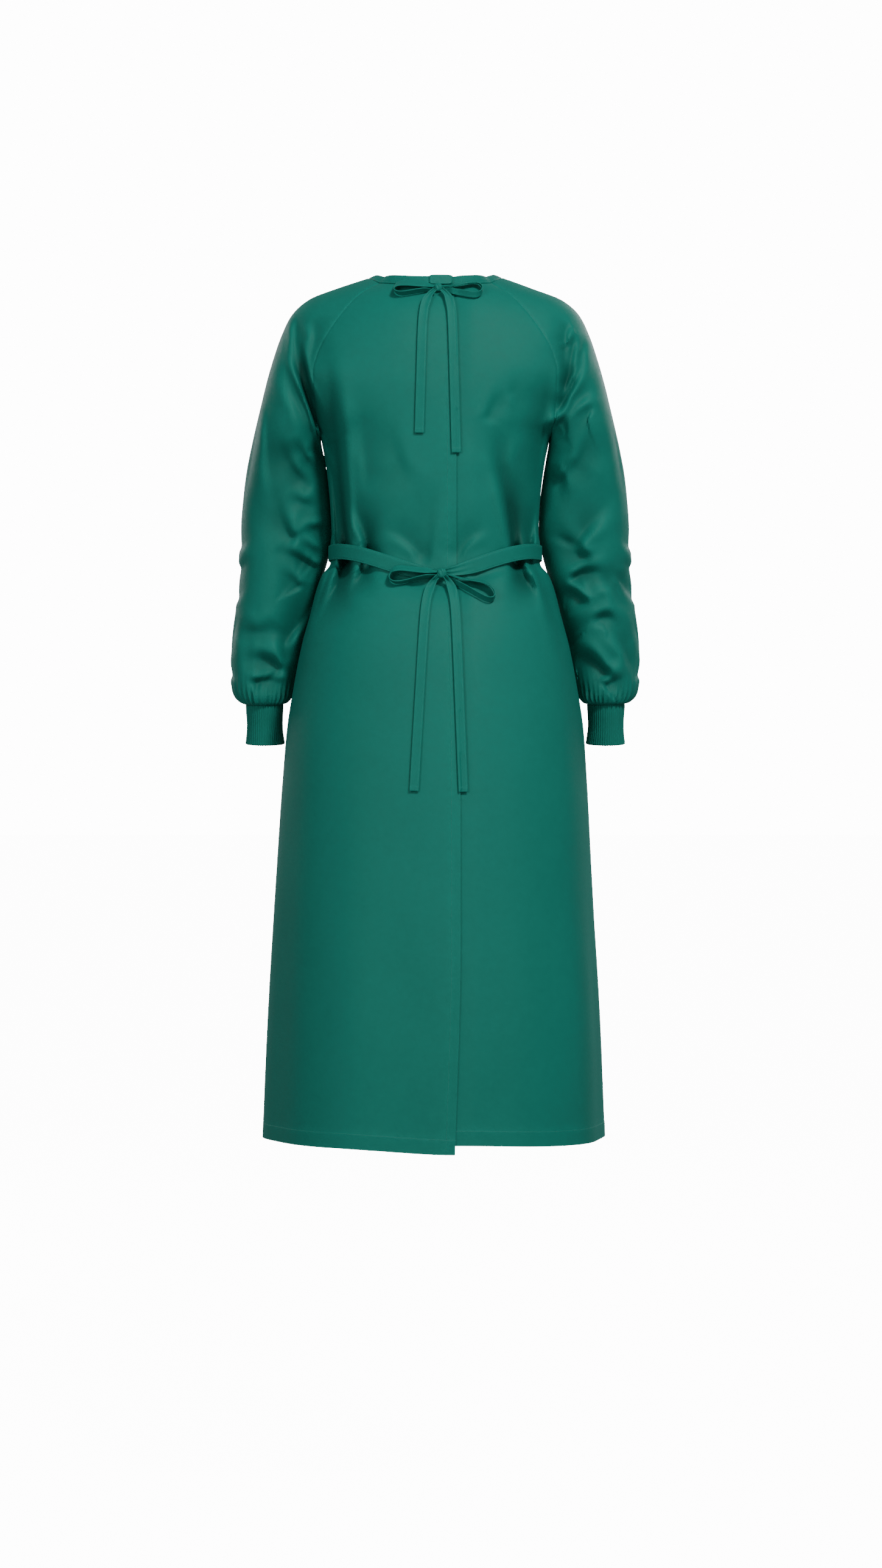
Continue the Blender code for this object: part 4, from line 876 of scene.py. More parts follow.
def shell(name, outer, inner, outward, finish, seam, closed_rows=0, fold=None):
    """One closed wall between two grids, with its map in metres and its seam mask, and the painted shade of
    its folds where fold is given. The first closed_rows rows join up into a tube."""
    rows, columns = outer.shape[:2]
    count = rows * columns
    points = np.concatenate([outer.reshape(-1, 3), inner.reshape(-1, 3)])
    outside = grid_faces(rows, columns)
    bottom = np.arange(columns)
    top = np.arange((rows - 1) * columns, count)
    open_rows = np.arange(max(closed_rows - 1, 0), rows) * columns
    rims = [bottom, top[::-1]]
    if closed_rows < rows:
        rims += [open_rows + columns - 1, open_rows[::-1]]
    faces = [outside, outside[:, ::-1] + count]
    faces += [np.stack([p[1:], p[:-1], p[:-1] + count, p[1:] + count], axis=1) for p in rims]
    faces = np.concatenate(faces)
    if outward < 0:
        faces = faces[:, ::-1]
    middle = outer[:, columns // 2 :: columns]
    u = np.cumsum(np.linalg.norm(np.diff(outer, axis=1, prepend=outer[:, :1]), axis=-1), axis=1)
    v = np.cumsum(np.linalg.norm(np.diff(middle, axis=0, prepend=middle[:1]), axis=-1), axis=0)
    u = u - u[:, columns // 2 : columns // 2 + 1]
    cloth_map = np.stack([u, np.broadcast_to(v, u.shape)], axis=-1).reshape(-1, 2)
    cloth_map = np.concatenate([cloth_map, cloth_map])[faces.ravel()]
    same = np.arange(2 * count)
    for r in range(closed_rows):
        for layer in (0, count):
            same[layer + r * columns + columns - 1] = layer + r * columns
    used, index = np.unique(same, return_inverse=True)
    mesh = bpy.data.meshes.new(name)
    mesh.from_pydata(points[used].tolist(), [], index.ravel()[faces].tolist())
    mesh.shade_smooth()
    mesh.uv_layers.new(name="cloth").data.foreach_set("uv", cloth_map.ravel())
    mask = mesh.attributes.new("seam", "FLOAT", "POINT")
    mask.data.foreach_set("value", np.tile(seam.ravel(), 2)[used])
    # Painted shade in the folds, stored for the cloth's colour.
    if fold is not None:
        shade = mesh.attributes.new("fold", "FLOAT", "POINT")
        shade.data.foreach_set("value", np.tile(fold.ravel(), 2)[used])
    mesh.set_sharp_from_angle(angle=math.radians(60))
    mesh.materials.append(finish)
    made = bpy.data.objects.new(name, mesh)
    bpy.context.scene.collection.objects.link(made)
    return made


def lump(name, grid, seam):
    """A closed piece from rings of points that run from one pole to the other."""
    rows, columns = grid.shape[:2]
    mesh = bpy.data.meshes.new(name)
    mesh.from_pydata(grid.reshape(-1, 3).tolist(), [], grid_faces(rows, columns).tolist())
    mask = mesh.attributes.new("seam", "FLOAT", "POINT")
    mask.data.foreach_set("value", seam.ravel())
    shaped = bmesh.new()
    shaped.from_mesh(mesh)
    bmesh.ops.remove_doubles(shaped, verts=shaped.verts, dist=1e-6)
    bmesh.ops.recalc_face_normals(shaped, faces=shaped.faces)
    cloth_map = shaped.loops.layers.uv.new("cloth")
    for face in shaped.faces:
        for loop in face.loops:
            loop[cloth_map].uv = (loop.vert.co.x, loop.vert.co.z)
    shaped.to_mesh(mesh)
    shaped.free()
    mesh.shade_smooth()
    mesh.materials.append(TWILL_CLOTH)
    made = bpy.data.objects.new(name, mesh)
    bpy.context.scene.collection.objects.link(made)
    return made


TWILL_CLOTH = cloth_material("twill_cloth", GREEN, 0.0009, 0.08, 0.16)
right_sleeve = sleeve_grid()
cut = {
    "front": body_grid(front_row, "front"),
    "back_left": hem_line(body_grid(back_left_row, "back"), -HEM_LEFT_DROP),
    "back_right": hem_line(body_grid(back_right_row, "back"), HEM_RIGHT_RISE),
    "sleeve_left": right_sleeve * (LEFT, 1, 1),
    "sleeve_right": right_sleeve,
}
FACING = {"front": -1, "back_left": 1, "back_right": 1, "sleeve_left": -1, "sleeve_right": 1}
SEAMS = {
    "front": ("first_column", "last_column", "last_row"),
    "back_left": ("first_column", "last_row"),
    "back_right": ("last_column", "last_row"),
    "sleeve_left": ("first_column", "last_column", "first_row", "last_row"),
    "sleeve_right": ("first_column", "last_column", "first_row", "last_row"),
}
for name, grid in cut.items():
    joint = (len(SLEEVE_ROWS) if name.startswith("sleeve") else len(TORSO_ROWS)) - 1
    eased_across(grid, SEAMS[name], joint)
# The folded cloth, and the painted shade that darkens its colour in the folds.
worn, painted_fold_shades = folded(cut, FACING)
outwards = shared_normals(worn, FACING)
outer_walls = {}
for name, grid in worn.items():
    seam_distance = edge_distances(cut[name], SEAMS[name])
    depth = SEAM_ROLL * np.exp(-((seam_distance / SEAM_ROLL_WIDTH) ** 2))
    if name.startswith("sleeve"):
        seam_mask = np.exp(-seam_distance / 0.0035)
    else:
        from_hem = edge_distances(cut[name], ["first_row"])
        depth -= HEM_STEP * (1 - ease((from_hem - HEM_DEPTH + 0.0008) / 0.0010))
        seam_mask = np.exp(-seam_distance / 0.0035) + np.exp(-np.abs(from_hem - HEM_DEPTH) / 0.0030)
        seam_mask += 0.8 * np.exp(-from_hem / 0.0012)
    if name == "back_left":
        from_edge = edge_distances(cut[name], ["last_column"])
        depth -= HEM_STEP * (1 - ease((from_edge - FACING_WIDTH + 0.0006) / 0.0010))
        seam_mask += np.exp(-np.abs(from_edge - FACING_WIDTH) / 0.0030) + 0.8 * np.exp(-from_edge / 0.0012)
    if name == "back_right":
        past_lap = cut[name][..., 0] - table_at(LAP_EDGE, cut[name][..., 2].ravel()).reshape(grid.shape[:2])
        depth += LAP_STEP * (1 - ease((past_lap - 0.0005) / 0.024))
    outer = grid - outwards[name] * depth[..., None]
    outer_walls[name] = outer
    piece = shell(
        name + "_cloth",
        outer,
        outer - outwards[name] * CLOTH,
        FACING[name],
        TWILL_CLOTH,
        np.clip(seam_mask, 0, 1),
        len(SLEEVE_ROWS) if name.startswith("sleeve") else 0,
        painted_fold_shades[name],
    )
    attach(piece, "root")
    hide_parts(name)


def run_nodes(obj, tree, values):
    """Runs a Geometry Nodes tree on an object and returns the result as a plain mesh object."""
    modifier = obj.modifiers.new(tree.name, "NODES")
    modifier.node_group = tree
    for socket in tree.interface.items_tree:
        if socket.in_out == "INPUT" and socket.name in values:
            modifier[socket.identifier] = values[socket.name]
    graph = bpy.context.evaluated_depsgraph_get()
    graph.update()
    mesh = bpy.data.meshes.new_from_object(
        obj.evaluated_get(graph), preserve_all_data_layers=True, depsgraph=graph
    )
    name = obj.name
    bpy.data.objects.remove(obj, do_unlink=True)
    mesh.name = name
    made = bpy.data.objects.new(name, mesh)
    bpy.context.scene.collection.objects.link(made)
    return made


# Stitches.
# Polyester thread in the cloth's own green, sewn by a lockstitch machine about ten stitches to
# the inch. They hold the hem, the facing and the edges of belt, ties and binding.
def make_stitch_tree():
    """Short stitches at an even pitch along every line of a curve."""
    tree = bpy.data.node_groups.new("row_of_stitches", "GeometryNodeTree")
    for name, kind, value in (
        ("Lines", "Geometry", None),
        ("Pitch", "Float", 0.0027),
        ("Length", "Float", 0.0021),
        ("Thickness", "Float", 0.0004),
        ("Thread", "Material", None),
    ):
        socket = tree.interface.new_socket(name, in_out="INPUT", socket_type="NodeSocket" + kind)
        if value is not None:
            socket.default_value = value
    tree.interface.new_socket("Stitches", in_out="OUTPUT", socket_type="NodeSocketGeometry")
    given, result = tree.nodes.new("NodeGroupInput"), tree.nodes.new("NodeGroupOutput")
    places = add_node(
        tree,
        "GeometryNodeCurveToPoints",
        {"Curve": given.outputs["Lines"], "Length": given.outputs["Pitch"]},
        mode="LENGTH",
    )
    turned = add_node(
        tree, "FunctionNodeAlignRotationToVector", {"Vector": places.outputs["Tangent"]}, axis="Z"
    )
    stitch = add_node(tree, "GeometryNodeMeshUVSphere", {"Segments": 5, "Rings": 4, "Radius": 0.5})
    size = add_node(
        tree,
        "ShaderNodeCombineXYZ",
        {
            "X": given.outputs["Thickness"],
            "Y": given.outputs["Thickness"],
            "Z": given.outputs["Length"],
        },
    )
    sewn = add_node(
        tree,
        "GeometryNodeInstanceOnPoints",
        {
            "Points": places.outputs["Points"],
            "Instance": stitch.outputs["Mesh"],
            "Rotation": turned.outputs["Rotation"],
            "Scale": size.outputs["Vector"],
        },
    )
    real = add_node(tree, "GeometryNodeRealizeInstances", {"Geometry": sewn.outputs["Instances"]})
    thread = add_node(
        tree,
        "GeometryNodeSetMaterial",
        {"Geometry": real.outputs["Geometry"], "Material": given.outputs["Thread"]},
    )
    link(tree, thread.outputs["Geometry"], result.inputs["Stitches"])
    return tree


def make_thread():
    made = bpy.data.materials.new("thread")
    made.use_nodes = True
    tree = made.node_tree
    shader = tree.nodes["Principled BSDF"]
    place = add_node(tree, "ShaderNodeTexCoord")
    ply = add_node(
        tree, "ShaderNodeTexNoise", {"Vector": place.outputs["Object"], "Scale": 1500.0, "Detail": 1.0}
    )
    shade = maths(tree, "MULTIPLY_ADD", ply.outputs["Fac"], 0.5, 0.80)
    tint = add_node(tree, "ShaderNodeHueSaturation", {"Value": shade, "Color": (*THREAD_GREEN, 1)})
    link(tree, tint.outputs["Color"], shader.inputs["Base Color"])
    link(tree, maths(tree, "MULTIPLY_ADD", ply.outputs["Fac"], 0.2, 0.40), shader.inputs["Roughness"])
    shader.inputs["Sheen Weight"].default_value = 0.2
    return made


THREAD_GREEN = (0.0040, 0.1750, 0.1320)
STITCHES, THREAD = make_stitch_tree(), make_thread()


def sew(name, rows):
    """One piece of thread for the given rows of stitches."""
    lines = bpy.data.curves.new(name, "CURVE")
    lines.dimensions = "3D"
    for row in rows:
        spline = lines.splines.new("POLY")
        spline.points.add(len(row) - 1)
        spline.points.foreach_set("co", np.column_stack([row, np.ones(len(row))]).ravel())
    path = bpy.data.objects.new(name, lines)
    bpy.context.scene.collection.objects.link(path)
    made = run_nodes(path, STITCHES, {"Thread": THREAD})
    made.data.shade_smooth()
    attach(made, "root")
    return made


hem_row = int(np.abs(TORSO_ROWS - HEM_HEIGHT - HEM_DEPTH).argmin())
facing_column = len(FACING_COLUMNS[::-1]) - list(FACING_COLUMNS[::-1]).index(FACING_WIDTH)
panel_rows = [
    outer_walls[panel][hem_row] + outwards[panel][hem_row] * 0.00005
    for panel in ("front", "back_left", "back_right")
]
panel_rows.append(
    outer_walls["back_left"][:, -facing_column] + outwards["back_left"][:, -facing_column] * 0.00005
)
sew("panel_stitches", panel_rows)

# Cuffs.
# Two tubes of rib knit, cotton with a little elastane, sewn inside the sleeves' gathered ends.
# Their upright ribs draw in round the wrist.
CUFF = (
    # height, outer x, inner x, centre y, half depth
    (-0.6130, 0.2520, 0.2000, 0.0500, 0.0315),
    (-0.6040, 0.2508, 0.2015, 0.0492, 0.0310),
    (-0.5880, 0.2498, 0.2030, 0.0476, 0.0302),
    (-0.5610, 0.2512, 0.2018, 0.0450, 0.0310),
    (-0.5560, 0.2504, 0.2026, 0.0450, 0.0301),
)
CUFF_RISE, CUFF_THICK = 0.10, 0.0016
RIBS, RIB_DEPTH, RIB_POINTS = 50, 0.00042, 6
CUFF_ROWS = spaced((-0.6130, 0.0006), (-0.6106, 0.0016), (-0.5560, 0.0))
RIB_GREEN = (0.0025, 0.1600, 0.1180)


def make_knit():
    """Columns of V-shaped loops. The map is in metres of knit."""
    tree, given, result = new_group(
        "knit",
        [("Map", "Vector", None), ("Wale", "Float", 0.0012), ("Course", "Float", 0.0009)],
        [("Height", "Float")],
    )
    parts = add_node(tree, "ShaderNodeSeparateXYZ", {0: given.outputs["Map"]})
    wale = maths(tree, "DIVIDE", parts.outputs["X"], given.outputs["Wale"])
    across = maths(tree, "ABSOLUTE", maths(tree, "SUBTRACT", maths(tree, "FRACT", wale), 0.5))
    course = maths(tree, "DIVIDE", parts.outputs["Y"], given.outputs["Course"])
    slanted = maths(tree, "SUBTRACT", course, maths(tree, "MULTIPLY", across, 1.6))
    loop = maths(tree, "SINE", maths(tree, "MULTIPLY", slanted, 2 * math.pi))
    body = maths(tree, "SINE", maths(tree, "MULTIPLY", across, 2 * math.pi))
    link(tree, maths(tree, "MULTIPLY", maths(tree, "MULTIPLY_ADD", loop, 0.5, 0.5), body),
         result.inputs["Height"])
    return tree


def make_rib_knit():
    made = bpy.data.materials.new("rib_knit")
    made.use_nodes = True
    tree = made.node_tree
    shader = tree.nodes["Principled BSDF"]
    cloth_map = add_node(tree, "ShaderNodeUVMap", uv_map="cloth")
    place = add_node(tree, "ShaderNodeTexCoord")
    seam = add_node(tree, "ShaderNodeAttribute", attribute_name="seam")
    rib = add_node(tree, "ShaderNodeAttribute", attribute_name="rib")
    loops = place_group(tree, make_knit(), {"Map": cloth_map.outputs["UV"]})
    # Painted shade: the knit's colour is darker in the valleys between its ribs.
    tone = maths(tree, "MULTIPLY_ADD", rib.outputs["Fac"], 1.1, -0.3)
    wear_and_shade = place_group(
        tree,
        CLOTH_WEAR_AND_FOLD_SHADE,
        {
            "Colour": (*RIB_GREEN, 1),
            "Place": place.outputs["Object"],
            "Seam": seam.outputs["Fac"],
            "Tone": tone,
            "Rubbed": 0.3,
        },
    )
    link(tree, wear_and_shade.outputs["Colour"], shader.inputs["Base Color"])
    link(tree, maths(tree, "ADD", wear_and_shade.outputs["Roughness"], 0.22), shader.inputs["Roughness"])
    bump = add_node(
        tree, "ShaderNodeBump", {"Height": loops.outputs["Height"], "Distance": 0.00022, "Strength": 0.7}
    )
    link(tree, bump.outputs["Normal"], shader.inputs["Normal"])
    shader.inputs["Specular IOR Level"].default_value = 0.18
    shader.inputs["Sheen Weight"].default_value = 0.15
    shader.inputs["Sheen Roughness"].default_value = 0.5
    shader.inputs["Sheen Tint"].default_value = (0.10, 0.85, 0.70, 1)
    return made


def make_rib_tree():
    """Raises ribs on a tube from its "round" attribute, the turn round it in radians, and keeps their height
    as "rib" for the painted shade in the knit's valleys.
    """
    tree = bpy.data.node_groups.new("knit_ribs", "GeometryNodeTree")
    for name, kind, value in (
        ("Tube", "Geometry", None),
        ("Ribs", "Int", 50),
        ("Depth", "Float", 0.0004),
        ("Knit", "Material", None),
    ):
        socket = tree.interface.new_socket(name, in_out="INPUT", socket_type="NodeSocket" + kind)
        if value is not None:
            socket.default_value = value
    tree.interface.new_socket("Ribbed", in_out="OUTPUT", socket_type="NodeSocketGeometry")
    given, result = tree.nodes.new("NodeGroupInput"), tree.nodes.new("NodeGroupOutput")
    turn = add_node(tree, "GeometryNodeInputNamedAttribute", {"Name": "round"}, data_type="FLOAT")
    outside = add_node(tree, "GeometryNodeInputNamedAttribute", {"Name": "outside"}, data_type="FLOAT")
    wave = maths(
        tree, "COSINE", maths(tree, "MULTIPLY", turn.outputs["Attribute"], given.outputs["Ribs"])
    )
    raised = maths(tree, "MULTIPLY", maths(tree, "MULTIPLY", wave, given.outputs["Depth"]),
                   outside.outputs["Attribute"])
    normal = add_node(tree, "GeometryNodeInputNormal")
    offset = add_node(
        tree,
        "ShaderNodeVectorMath",
        {0: normal.outputs["Normal"], "Scale": raised},
        operation="SCALE",
    )
    moved = add_node(
        tree,
        "GeometryNodeSetPosition",
        {"Geometry": given.outputs["Tube"], "Offset": offset.outputs["Vector"]},
    )
    kept = add_node(
        tree,
        "GeometryNodeStoreNamedAttribute",
        {
            "Geometry": moved.outputs["Geometry"],
            "Name": "rib",
            "Value": maths(tree, "MULTIPLY_ADD", wave, 0.5, 0.5),
        },
        data_type="FLOAT",
        domain="POINT",
    )
    real = add_node(tree, "GeometryNodeRealizeInstances", {"Geometry": kept.outputs["Geometry"]})
    knitted = add_node(
        tree,
        "GeometryNodeSetMaterial",
        {"Geometry": real.outputs["Geometry"], "Material": given.outputs["Knit"]},
    )
    link(tree, knitted.outputs["Geometry"], result.inputs["Ribbed"])
    return tree


RIB_KNIT, KNIT_RIBS = make_rib_knit(), make_rib_tree()
cuff_turn = np.linspace(-math.pi, math.pi, RIBS * RIB_POINTS + 1)
cuffs = {}
for name, hand in (("cuff_left", LEFT), ("cuff_right", RIGHT)):
    walls = [], []
    for height in CUFF_ROWS:
        far, near, centre_y, half_depth = table_at(CUFF, height)[0]
        rounded = 0.0007 * math.exp(-(((height - CUFF_ROWS[0]) / 0.0009) ** 2))
        for wall, thick in zip(walls, (rounded, CUFF_THICK - rounded)):
            x = (far + near) / 2 + ((far - near) / 2 - thick) * np.cos(cuff_turn)
            y = centre_y + (half_depth - thick) * np.sin(cuff_turn)
            wall.append(np.stack([x * hand, y, height + (y - centre_y) * CUFF_RISE], axis=1))
    outer, inner = np.array(walls[0]), np.array(walls[1])
    mask = np.exp(-np.abs(np.array(CUFF_ROWS) - CUFF_ROWS[0]) / 0.0015)
    tube = shell(
        name + "_knit", outer, inner, hand, RIB_KNIT, np.repeat(mask[:, None], len(cuff_turn), 1),
        len(CUFF_ROWS),
    )
    points = np.empty(len(tube.data.vertices) * 3)
    tube.data.vertices.foreach_get("co", points)
    points = points.reshape(-1, 3)
    middle_z = np.clip(points[:, 2] - (points[:, 1] - 0.0475) * CUFF_RISE, -0.6130, -0.5560)
    far, near, centre_y, half_depth = table_at(CUFF, middle_z).T
    turn_x = (np.abs(points[:, 0]) - (far + near) / 2) / ((far - near) / 2)
    turn_y = (points[:, 1] - centre_y) / half_depth
    attribute = tube.data.attributes.new("round", "FLOAT", "POINT")
    attribute.data.foreach_set("value", np.arctan2(turn_y, turn_x))
    attribute = tube.data.attributes.new("outside", "FLOAT", "POINT")
    attribute.data.foreach_set("value", ease((np.hypot(turn_x, turn_y) - 0.965) / 0.02))
    cuffs[name] = run_nodes(tube, KNIT_RIBS, {"Ribs": RIBS, "Depth": RIB_DEPTH, "Knit": RIB_KNIT})
    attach(cuffs[name], "root")
    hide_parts(name)

# Neck binding and its tab.
# A bias strip of the same cloth, folded over the neck's raw edge and stitched along its foot.
# Its ends lap at the back under a short tab of folded cloth, sewn on where the ties start.
BINDING_WIDTH, BINDING_THICK = 0.0120, 0.0020
BINDING_LEAN_BACK, BINDING_LEAN_SIDE, BINDING_LEAN_FRONT = 0.0030, 0.0112, 0.0060  # inwards
BINDING_STEP, BINDING_UNDER = 0.0012, 0.0030
BINDING_PROFILE = (
    # height, how far the outer and the inner face stand out
    (-0.0022, -0.0012, -0.0016),
    (-0.0004, -0.0011, -0.0020),
    (0.0000, -0.0003, -0.0020),
    (0.0004, 0.0001, -0.0020),
    (0.0012, 0.0001, -0.0020),
    (0.0017, -0.0001, -0.0020),
    (0.0022, 0.0001, -0.0020),
    (0.0040, 0.0003, -0.0019),
    (0.0065, 0.0004, -0.0018),
    (0.0090, 0.0003, -0.0018),
    (0.0108, 0.0001, -0.0019),
    (0.0115, -0.0003, -0.0018),
    (0.0119, -0.0007, -0.0014),
    (0.0120, -0.0010, -0.0011),
)
BINDING_STITCHES = 5  # the row of the profile that they lie in


def smoothed(values, reach):
    """A running mean along the first axis that keeps both ends."""
    padded = np.concatenate(
        [np.repeat(values[:1], reach, 0), values, np.repeat(values[-1:], reach, 0)]
    )
    sums = np.cumsum(np.concatenate([np.zeros_like(padded[:1]), padded]), axis=0)
    return (sums[2 * reach + 1 :] - sums[: -2 * reach - 1]) / (2 * reach + 1)


def evenly(line, step):
    """A line's points at even steps, with any number of values to a point."""
    run = np.cumsum(np.linalg.norm(np.diff(line[:, :3], axis=0, prepend=line[:1, :3]), axis=1))
    even = np.linspace(0, run[-1], math.ceil(run[-1] / step) + 1)
    return np.stack([np.interp(even, run, line[:, k]) for k in range(line.shape[1])], axis=1)


tops = []
for name, order in (
    ("back_right", 1), ("sleeve_right", 1), ("front", -1), ("sleeve_left", -1), ("back_left", 1)
):
    seam, below = worn[name][-1, ::order], worn[name][-4, ::order]
    hidden = np.zeros(len(seam))
    if name == "back_right":
        past = seam[:, 0] - lap_place(-0.022)
        hidden = BINDING_UNDER * (1 - ease((past - 0.0005) / 0.012))
    tops.append(np.column_stack([seam, below, hidden])[1 if tops else 0 :])
neck_line = smoothed(evenly(np.concatenate(tops), BINDING_STEP), 2)
seam, below, hidden = neck_line[:, :3], neck_line[:, 3:6], neck_line[:, 6:]
forward = unit(np.gradient(seam, axis=0))
level_out = unit(np.cross(forward, (0, 0, 1)))
sideways = np.abs(seam[:, 0]) / np.abs(seam[:, 0]).max()
middle = np.where(seam[:, 1] > 0, BINDING_LEAN_FRONT, BINDING_LEAN_BACK)
lean = middle + (BINDING_LEAN_SIDE - middle) * ease((sideways - 0.6) / 0.4)
lean = smoothed(lean[:, None], 6)
rise = unit(np.sqrt(BINDING_WIDTH**2 - lean**2) * (0, 0, 1) - lean * level_out)
out = unit(np.cross(forward, rise))
foot = seam + unit(seam - below) * 0.0003 - out * hidden
binding_outer = np.array([foot + rise * up + out * face for up, face, _ in BINDING_PROFILE])
binding_inner = np.array([foot + rise * up + out * face for up, _, face in BINDING_PROFILE])
binding_mask = np.exp(-np.abs(np.array(BINDING_PROFILE)[:, 0] - 0.0017) / 0.003)
neck_binding = shell(
    "neck_binding_strip",
    binding_outer,
    binding_inner,
    1,
    TWILL_CLOTH,
    np.repeat(binding_mask[:, None], len(seam), 1),
)
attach(neck_binding, "root")
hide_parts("neck_binding")
sew("binding_stitches", [binding_outer[BINDING_STITCHES] + out * 0.00005])

surfaces = [*(bpy.data.objects[name + "_cloth"] for name in worn), neck_binding]


def nearest_from(pieces):
    """A function that finds the outermost point seen from behind, of the given pieces."""
    points, faces = [], []
    for piece in pieces:
        mesh = piece.data
        spots = np.empty(len(mesh.vertices) * 3)
        mesh.vertices.foreach_get("co", spots)
        faces += [[len(points) + i for i in p.vertices] for p in mesh.polygons]
        points += spots.reshape(-1, 3).tolist()
    tree = BVHTree.FromPolygons(points, faces)

    def nearest(x, z):
        for lower in range(16):
            spot = tree.ray_cast((x, -1.0, z - lower * 0.001), (0, 1, 0))[0]
            if spot is not None and spot.y < 0.02:
                return spot.y
        raise ValueError(f"nothing lies behind {x:.4f}, {z:.4f}")

    return nearest


TAB = (-0.0078, 0.0224, -0.0215, -0.0087)  # left, right, bottom and top edges
TAB_THICK, TAB_CORNER = 0.0018, 6.0
TAB_RINGS = (0.0, 0.25, 0.5, 0.7, 0.82, 0.86, 0.90, 0.94, 0.97, 0.99, 1.0)
nearest = nearest_from(surfaces)
left, right, bottom, top = TAB
angle = np.linspace(-math.pi, math.pi, 97)
round_x, round_z = (
    np.sign(turned) * np.abs(turned) ** (2 / TAB_CORNER) for turned in (np.cos(angle), np.sin(angle))
)
ring = np.array(TAB_RINGS)[:, None]
tab_x = (left + right) / 2 + (right - left) / 2 * ring * round_x
tab_z = (bottom + top) / 2 + (top - bottom) / 2 * ring * round_z
samples = np.array([(x, z) for x in np.linspace(left, right, 9) for z in np.linspace(bottom, top - 0.0045, 5)])
found = np.array([nearest(x, z) for x, z in samples])


def tab_terms(x, z):
    return np.stack([np.ones_like(x), x, x**2, z], axis=-1)


fit = np.linalg.lstsq(tab_terms(*samples.T), found, rcond=None)[0]
slack = (tab_terms(*samples.T) @ fit - found).max() + 0.0002
base = tab_terms(tab_x, tab_z) @ fit - slack
edge = np.clip((ring - 0.86) / 0.14, 0, 1)
thickness = TAB_THICK * np.sqrt(1 - edge**2) - 0.00025 * np.exp(-(((ring - 0.82) / 0.03) ** 2))
tab_front = np.stack([tab_x, base - thickness, tab_z], axis=-1)
tab_back = np.stack([tab_x, base, tab_z], axis=-1)
neck_tab = lump(
    "neck_tab_fold",
    np.concatenate([tab_front, tab_back[-2::-1]]),
    np.concatenate([ring, ring[-2::-1]]) * np.ones(len(angle)) * 0.6,
)
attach(neck_tab, "root")
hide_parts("neck_tab")
surfaces.append(neck_tab)

# Belt.
# A doubled strip of the same cloth, edge-stitched, that goes round the waist over the panels.
# Its ends draw together into the bow behind, so it is gathered narrow there.
BELT_WIDTH, BELT_THICK, BELT_GAP = 0.0200, 0.0016, 0.0010
BELT_STEP = 0.0020
BELT_PROFILE = (
    # place across in half widths, share of the thickness at each face
    (-1.000, 0.45, 0.45), (-0.985, 0.80, 0.15), (-0.940, 1.00, 0.00), (-0.880, 1.00, 0.00),
    (-0.840, 0.86, 0.00), (-0.800, 1.00, 0.00), (-0.600, 1.08, 0.00), (-0.400, 1.10, 0.00),
    (-0.200, 1.10, 0.00), (0.000, 1.10, 0.00), (0.200, 1.10, 0.00), (0.400, 1.10, 0.00),
    (0.600, 1.08, 0.00), (0.800, 1.00, 0.00), (0.840, 0.86, 0.00), (0.880, 1.00, 0.00),
    (0.940, 1.00, 0.00), (0.985, 0.80, 0.15), (1.000, 0.45, 0.45),
)
BELT_STITCHES = (4, 14)  # the rows of the profile that they lie in
BOWS = {
    # knot's x and z, and its half width, half height and half depth
    "neck": (0.0041, -0.0272, 0.0052, 0.0054, 0.0046),
    "waist": (0.0086, -0.3967, 0.0062, 0.0064, 0.0050),
}
back_ring, front_ring = torso_arc(BELT_HEIGHT, "back"), torso_arc(BELT_HEIGHT, "front")
waist = evenly(np.concatenate([back_ring, front_ring[::-1][1:]]), BELT_STEP)
around = np.concatenate([waist[-2:-1], waist, waist[1:2]])
forward = around[2:] - around[:-2]
out = unit(np.cross(forward, (0, 0, 1)))
up = unit(np.cross(out, forward))
from_knot = np.where(waist[:, 1] < 0, np.abs(waist[:, 0] - BOWS["waist"][0]), 1.0)[:, None]
gathered = np.exp(-((from_knot / 0.026) ** 2))
half_width = BELT_WIDTH / 2 * (1 - 0.52 * gathered)
rows = []
for across, outer_share, inner_share in BELT_PROFILE:
    fold = 0.0011 * gathered * math.cos(across * 7.5 + 0.5) * (abs(across) < 0.95)
    middle = waist + up * half_width * across + out * (BELT_GAP + 0.0006 * gathered)
    rows.append(
        (middle + out * (BELT_THICK * outer_share + np.maximum(fold, -0.0006)),
         middle + out * BELT_THICK * inner_share)
    )
belt_outer, belt_inner = (np.array([row[face] for row in rows]) for face in (0, 1))
belt_mask = np.array([math.exp(-abs(abs(across) - 0.84) / 0.25) for across, _, _ in BELT_PROFILE])
belt = shell(
    "belt_strip", belt_outer, belt_inner, 1, TWILL_CLOTH,
    np.repeat(belt_mask[:, None], len(waist), 1), len(BELT_PROFILE),
)
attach(belt, "root")
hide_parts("belt")
sew("belt_stitches", [belt_outer[row] + out * 0.00003 for row in BELT_STITCHES])
surfaces.append(belt)

